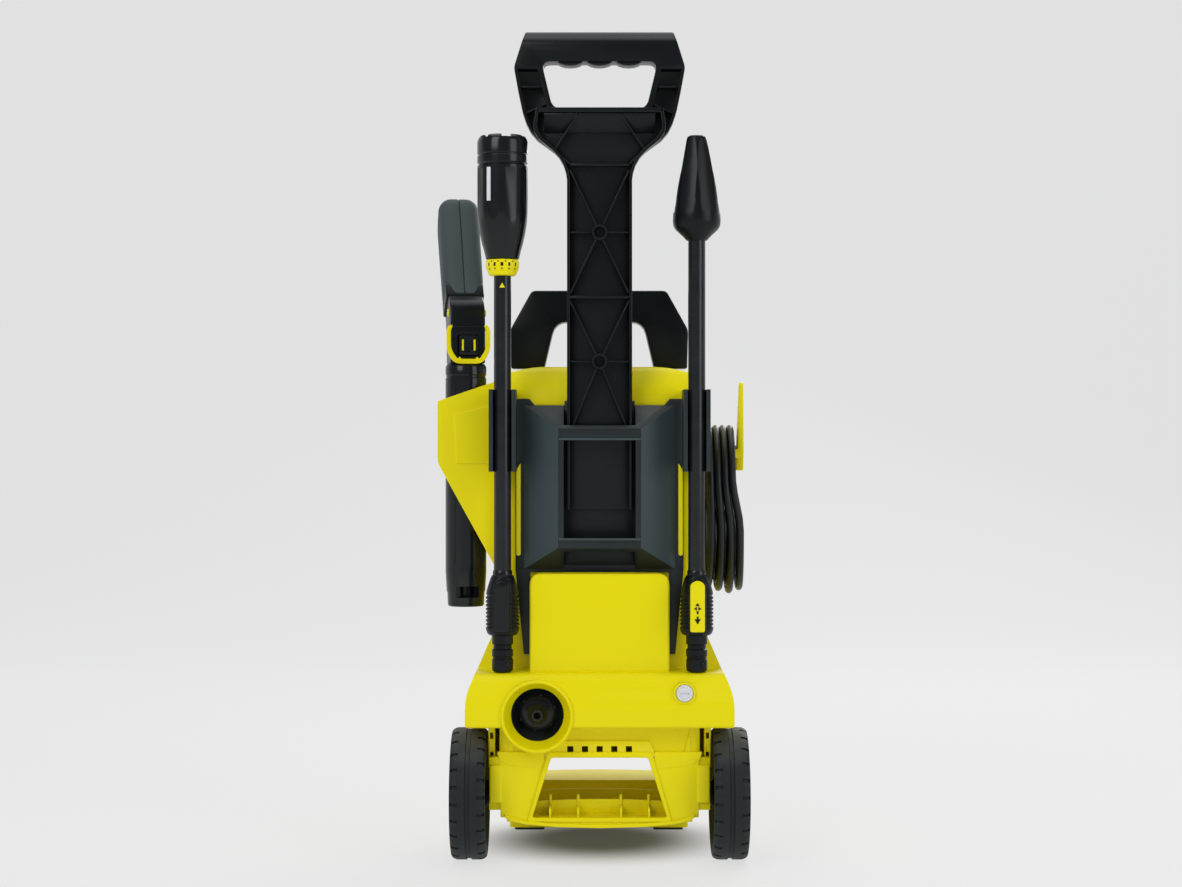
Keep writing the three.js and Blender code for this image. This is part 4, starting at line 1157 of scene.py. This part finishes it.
def grip_half(side, sign):
    """One soft half of the grip, rounded generously on the outside and slightly at the seam."""
    outline = rounded_outline([(30.3, 512.6), (60, 556, 30), (89, 603, 20), (62, 639, 22), (33, 590, 30),
                               (6.6, 532.4)], 8)
    half = gun_slab("grip_half_" + side, outline, sign * 19.6, sign * 0.15, "x", 0)
    only(half)
    for part in (half.data.polygons, half.data.edges, half.data.vertices):
        for item in part:
            item.select = False
    outer = at(GUN_X + sign * 19.6, 0, 0).x
    seam = at(GUN_X + sign * 0.15, 0, 0).x
    for face in half.data.polygons:
        face.select = abs(face.center.x - outer) < 0.0001
    bpy.ops.object.mode_set(mode="EDIT")
    bpy.ops.mesh.select_mode(type="FACE")
    bpy.ops.mesh.region_to_loop()
    bpy.ops.mesh.bevel(offset=12.5 * MM, segments=10, clamp_overlap=False)
    bpy.ops.mesh.select_all(action="DESELECT")
    bpy.ops.object.mode_set(mode="OBJECT")
    for face in half.data.polygons:
        face.select = abs(face.center.x - seam) < 0.0001
    bpy.ops.object.mode_set(mode="EDIT")
    bpy.ops.mesh.select_mode(type="FACE")
    bpy.ops.mesh.region_to_loop()
    bpy.ops.mesh.bevel(offset=1.1 * MM, segments=3, clamp_overlap=False)
    bpy.ops.object.mode_set(mode="OBJECT")
    bpy.ops.object.shade_smooth_by_angle(angle=math.radians(50))
    finish_piece(by_the_gun(half), "spray_gun", SOFT, "soft_grip", "gun_grip_" + side)


def spray_gun():
    body = "spray_gun"
    centre = at(GUN_X, GUN_Y, 0)
    barrel = turned("barrel", [(0, 262), (11.6, 262), (12, 260), (12, 236.5), (12.8, 235), (16.4, 235),
                               (17.3, 236.2), (17.8, 248), (18.5, 249.6),
                               (19.5, 268), (19.5, 452), (18.9, 453), (18.9, 454.6), (19.5, 455.6),
                               (19.5, 463), (18, 465.7), (0, 465.7)],
                    centre, "z", 96)
    window = gun_slab("window", rounded_outline([(-11, 243.5, 2), (11, 243.5, 2), (11, 254.5, 2),
                                                 (-11, 254.5, 2)]), -30, -10, "y", 0)
    flat = gun_slab("flat", [(-7.5, 270), (7.5, 270), (7.5, 440), (-7.5, 440)], -30, -18.7, "y", 0)
    carved(barrel, window, flat)
    only(barrel)
    bpy.ops.object.shade_smooth_by_angle(angle=math.radians(30))
    finish_piece(by_the_gun(barrel), body, GLOSS_BLACK, "black_plastic", "gun_barrel")
    lugs = turned("bayonet", [(5.2, 238), (7, 238), (7.4, 239), (7.4, 262), (5.2, 262), (5.2, 238)], centre,
                  "z", 48)
    finish_piece(by_the_gun(lugs), body, BLACK, "black_plastic")
    for n, x in enumerate((-12.6, 12.6)):
        peg = gun_slab("barrel_line_%d" % n, [(x - 0.5, 275), (x + 0.5, 275), (x + 0.5, 445),
                                              (x - 0.5, 445)], -15.6, -13.2, "y", 0.3)
        finish_piece(by_the_gun(peg), body, GLOSS_BLACK, "black_plastic")

    housing = gun_slab("gun_housing", rounded_outline([(-17, 465.9, 2), (18, 465.9, 2), (22, 498, 6),
                                                       (30, 512, 2), (6, 532, 3), (-12, 524, 8),
                                                      (-17, 508, 8)]), -16.5, 16.5, "x", 2.2, 4)
    well = gun_slab("well", rounded_outline([(-9.8, 473.2, 1.5), (9.8, 473.2, 1.5), (9.8, 492.8, 1.5),
                                             (-9.8, 492.8, 1.5)]), -40, -11.5, "y", 0)
    bolt = drill("bolt", "x", 4.3, -150, -105, (0, GUN_Y + 3, 515))
    carved(housing, well, bolt)
    only(housing)
    bpy.ops.object.shade_smooth_by_angle(angle=math.radians(34))
    finish_piece(by_the_gun(housing), body, BLACK, "black_plastic", "gun_body")
    shield = gun_slab("gun_shield", rounded_outline([(-15.4, 470.5, 4), (15.4, 470.5, 4), (16, 501, 3),
                                                     (-16, 501, 3)]), -19.6, -16.2, "y", 0)
    carved(shield, gun_slab("shield_hole", [(-9.6, 473.4), (9.6, 473.4), (9.6, 492.6), (-9.6, 492.6)], -30,
                            -10, "y", 0))
    rounded(shield, 0.7, 3)
    finish_piece(by_the_gun(shield), body, BLACK, "black_plastic")
    u_shape = rounded_outline([(-14.8, 502, 1), (-18.6, 502, 1.5), (-20.8, 497, 3), (-20.6, 477, 8),
                               (-13.6, 465.6, 8), (13.6, 465.6, 8), (20.6, 477, 8), (20.8, 497, 3),
                               (18.6, 502, 1.5), (14.8, 502, 1), (16.8, 497, 2), (16.6, 479, 6),
                               (10.4, 470.2, 2), (8.2, 472.2, 0.6), (6.4, 470.2, 0.6), (-6.4, 470.2, 0.6),
                               (-8.2, 472.2, 0.6), (-10.4, 470.2, 2), (-16.6, 479, 6), (-16.8, 497, 2)])
    frame_piece = gun_slab("gun_u_frame", u_shape, -21, -17.2, "y", 0.8, 3)
    finish_piece(by_the_gun(frame_piece), body, YELLOW, "yellow_plastic", "gun_frame")
    button = gun_slab("release_button", rounded_outline([(-9, 474, 2), (9, 474, 2), (9, 492, 2),
                                                         (-9, 492, 2)]), -22.4, -15.2, "y", 0)
    carved(button, gun_slab("thumb_well", rounded_outline([(-3.4, 477, 2), (3.4, 477, 2), (3.4, 489.4, 2),
                                                           (-3.4, 489.4, 2)]), -30, -18.4, "y", 0))
    rounded(button, 0.8, 3)
    finish_piece(by_the_gun(button), "gun_release", GLOSS_BLACK, "black_plastic", "gun_release_button")
    for n, x in enumerate((-5.6, 5.6)):
        stripe = gun_slab("button_stripe_%d" % n, rounded_outline([(x - 0.9, 478, 0.5), (x + 0.9, 478, 0.5),
                (x + 0.9, 488.4, 0.5), (x - 0.9, 488.4, 0.5)]),
                          -22.8, -20, "y", 0.25)
        finish_piece(by_the_gun(stripe), "gun_release", YELLOW, "yellow_plastic")

    grip_half("left", -1)
    grip_half("right", 1)
    root = gun_slab("grip_root", rounded_outline([(30.6, 511.6, 2), (40, 525, 3), (17, 548, 8),
                                                  (5.4, 531.4, 2)]), -18.4, 18.4, "x", 3.4, 5)
    finish_piece(by_the_gun(root), body, BLACK, "black_plastic")
    lock = turned("lock_pin", [(0, -17.4), (3.2, -17.4), (4, -16.6), (4, 18.4), (3.2, 19.4), (0, 19.4)],
                  at(GUN_X, GUN_Y + 3, 515), "x", 40)
    finish_piece(by_the_gun(lock), "trigger_lock", YELLOW, "yellow_plastic", "trigger_lock")
    lever = gun_slab("trigger_lever", rounded_outline([(31, 494, 3), (38, 491, 3), (56, 521, 12),
                                                       (80, 556, 3), (74, 561, 3), (50, 528, 12),
                                                       (36, 504, 4)]),
                     -8, 8, "x", 1.6, 4)
    finish_piece(by_the_gun(lever), "trigger", SLATE, "black_plastic", "trigger")


spray_gun()

# --- rear panel, plug and small parts -------------------------------------------------------------

# A near-black copy of the slate, used with the slate to paint light and shade on the rear panel.
PANEL_PAINTED_SHADE = moulded("slate_painted_shade_moulding", (0.012, 0.018, 0.020), (0.016, 0.023, 0.025), 0.36, bump=0.05,
                     worn=(0.06, 0.08, 0.085), dust=0.02, specular=0.3)


def rear_facing():
    """The dark rear panel, painted in light and shade: lighter slate on its sloping sides, between nearly
    black strips, straps and lance clips.
    """
    panel = rounded(copy_of("rear_facing", "rear_panel"), 0.7, 3, 20)
    finish_piece(panel, "casing", PANEL_PAINTED_SHADE, "slate_plastic", "rear_panel")
    panel.data.materials.append(SLATE)
    # Painted light and shade: the sloping side faces, picked by which way they face, take the lighter slate,
    # and the rest keep the near-black copy.
    for face in panel.data.polygons:
        across = abs(face.center.x - CENTRE_X) / MM
        if across > 36 and abs(face.normal.x) > 0.35 and face.normal.y < -0.35 and face.center.z > 268 * MM:
            face.material_index = 1
    # Painted shade: a thin black sheet at the back of the channel darkens the recess behind the rail.
    painted_shade_sheet = slab("channel_painted_shade", [(-33, 276), (33, 276), (33, 430), (-33, 430)], -66.3, -65.3, "y", 0.2)
    finish_piece(painted_shade_sheet, "casing", BLACK, "black_plastic")
    for n, z in enumerate((301, 394)):
        strip = block("strap_edge_%d" % n, (-38, -91.6, z - 0.9), (38, -90.4, z + 0.9), 0.35)
        finish_piece(strip, "casing", SLATE, "slate_plastic")
    for sign in (-1, 1):
        guide = slab("panel_guide_%d" % (sign + 1), rounded_outline([(sign * 74, 285, 2),
                (sign * 78, 285, 2), (sign * 78, 365, 2), (sign * 74, 372, 2)]),
                     -72, -62.6, "y", 0.8)
        finish_piece(guide, "casing", YELLOW, "yellow_plastic")


def holster_relief():
    panel = slab("holster_relief", rounded_outline([(-137, 418, 2), (-135, 371, 2), (-103, 371, 2),
                                                    (-103, 426, 2)]), -56, -54, "y", 0.7, 3)
    finish_piece(panel, "casing", YELLOW, "yellow_plastic")


def plug_and_gland():
    centre = at(122, 64, 0)
    body = turned("plug_body", [(0, 289), (15, 289), (16, 290), (16, 301), (15.2, 303), (11, 307),
                                (8.4, 309.4), (8.2, 311), (7, 311.4), (7, 312.6),
                                (7.6, 313), (7.4, 314.6), (6.2, 315), (6.2, 316.2), (6.8, 316.6),
                                (6.4, 318.2), (5.4, 318.6), (5.4, 320), (5.8, 320.4),
                                (5.2, 322), (4.6, 325), (0, 325)], centre, "z", 64)
    flats = [block("flat", (x0, 44, 288), (x1, 84, 306), 0) for x0, x1 in ((104, 110.4), (133.6, 140))]
    carved(body, *flats)
    finish_piece(body, "casing", CABLE, "cable_rubber", "mains_plug")
    pins = []
    for n, x in enumerate((112.5, 131.5)):
        pin = turned("plug_pin_%d" % n, [(0, 277), (1.6, 277), (2.4, 278.2), (2.4, 290), (0, 290)],
                     at(x, 64, 0), "z", 32)
        pins.append(finish_piece(pin, "casing", STEEL, "steel"))
    gland = rounded(copy_of("gland_boss", "cable_gland"), 1.0, 3)
    finish_piece(gland, "casing", CABLE, "cable_rubber", "cable_gland")
    rings = []
    for n in range(4):
        ring = turned("gland_ring_%d" % n, [(4.6, 0), (6.9 - n * 0.4, 0), (7.3 - n * 0.4, 0.6),
                                            (7.3 - n * 0.4, 1.4), (6.9 - n * 0.4, 2), (4.6, 2), (4.6, 0)],
                      at(106, 61.5 - n * 3.6, 263), "y", 40)
        rings.append(finish_piece(ring, "casing", CABLE, "cable_rubber"))
    return [body, *pins, gland, *rings]


def dosing_plug():
    cap = turned("dosing_cap", [(0, -3.4), (4.6, -3.4), (5.2, -3.0), (5.6, -2.4), (6.6, -3.0), (7.3, -2.6),
                                (7.8, -1.4), (7.8, 16), (0, 16)],
                 at(78, -112, 160.5), "y", 56)
    slot = block("slot", (73.6, -118, 159.6), (82.4, -114.2, 161.4), 0)
    carved(cap, slot)
    finish_piece(cap, "casing", WHITE, "white_plastic", "detergent_plug")
    seat = turned("dosing_seat", [(8.2, -1.0), (9.8, -1.0), (10.2, -0.4), (10.2, 3), (8.2, 3), (8.2, -1.0)],
                  at(78, -112, 160.5), "y", 64)
    finish_piece(seat, "casing", YELLOW, "yellow_plastic")


def switch_and_outlet():
    knob = rounded(copy_of("switch_knob", "power_knob"), 1.2, 4)
    finish_piece(knob, "power_knob", YELLOW, "yellow_plastic", "power_knob")
    for n, angle in enumerate(range(15, 360, 30)):
        t = math.radians(angle)
        x, z = 19.6 * math.cos(t), 300 + 19.6 * math.sin(t)
        nub = block("knob_nub_%d" % n, (x - 1.5, 100.5, z - 1.5), (x + 1.5, 111.5, z + 1.5), 0.8, 3)
        finish_piece(nub, "power_knob", YELLOW, "yellow_plastic")
    dial = turned("dial_ring", [(21.5, 0), (25.5, 0), (26, 1), (25.6, 1.8), (21.8, 1.8), (21.3, 1),
                                (21.5, 0)], at(0, 98.6, 300), "y", 96)
    finish_piece(dial, "casing", BLACK, "black_plastic")
    for n, (x, z) in enumerate(((0, 329), (26.5, 312))):
        mark = turned("dial_mark_%d" % n, [(0, 0), (1.8, 0), (2.2, 0.4), (2.2, 1), (0, 1)], at(x, 98.8, z),
                      "y", 24)
        finish_piece(mark, "casing", WHITE, "white_plastic")
    outlet = turned("outlet_thread", [(0, 64), (9.4, 64), (9.4, 99.5), (11.6, 99.6), (11.6, 103.5),
                                      (9.0, 104.0), (9.6, 104.8), (9.0, 105.6), (9.6, 106.4),
                                      (9.0, 107.2), (9.6, 108), (9.0, 108.8), (9.6, 109.6), (9.0, 110.4),
                                      (9.6, 111.2), (9.4, 114.6), (8.4, 116),
                                      (7, 116), (7, 100), (0, 100)], at(0, 0, 150), "y", 64)
    finish_piece(outlet, "casing", BRASS, "brass", "pressure_outlet")


rear_facing()
holster_relief()
cable_pieces = plug_and_gland()
dosing_plug()
switch_and_outlet()
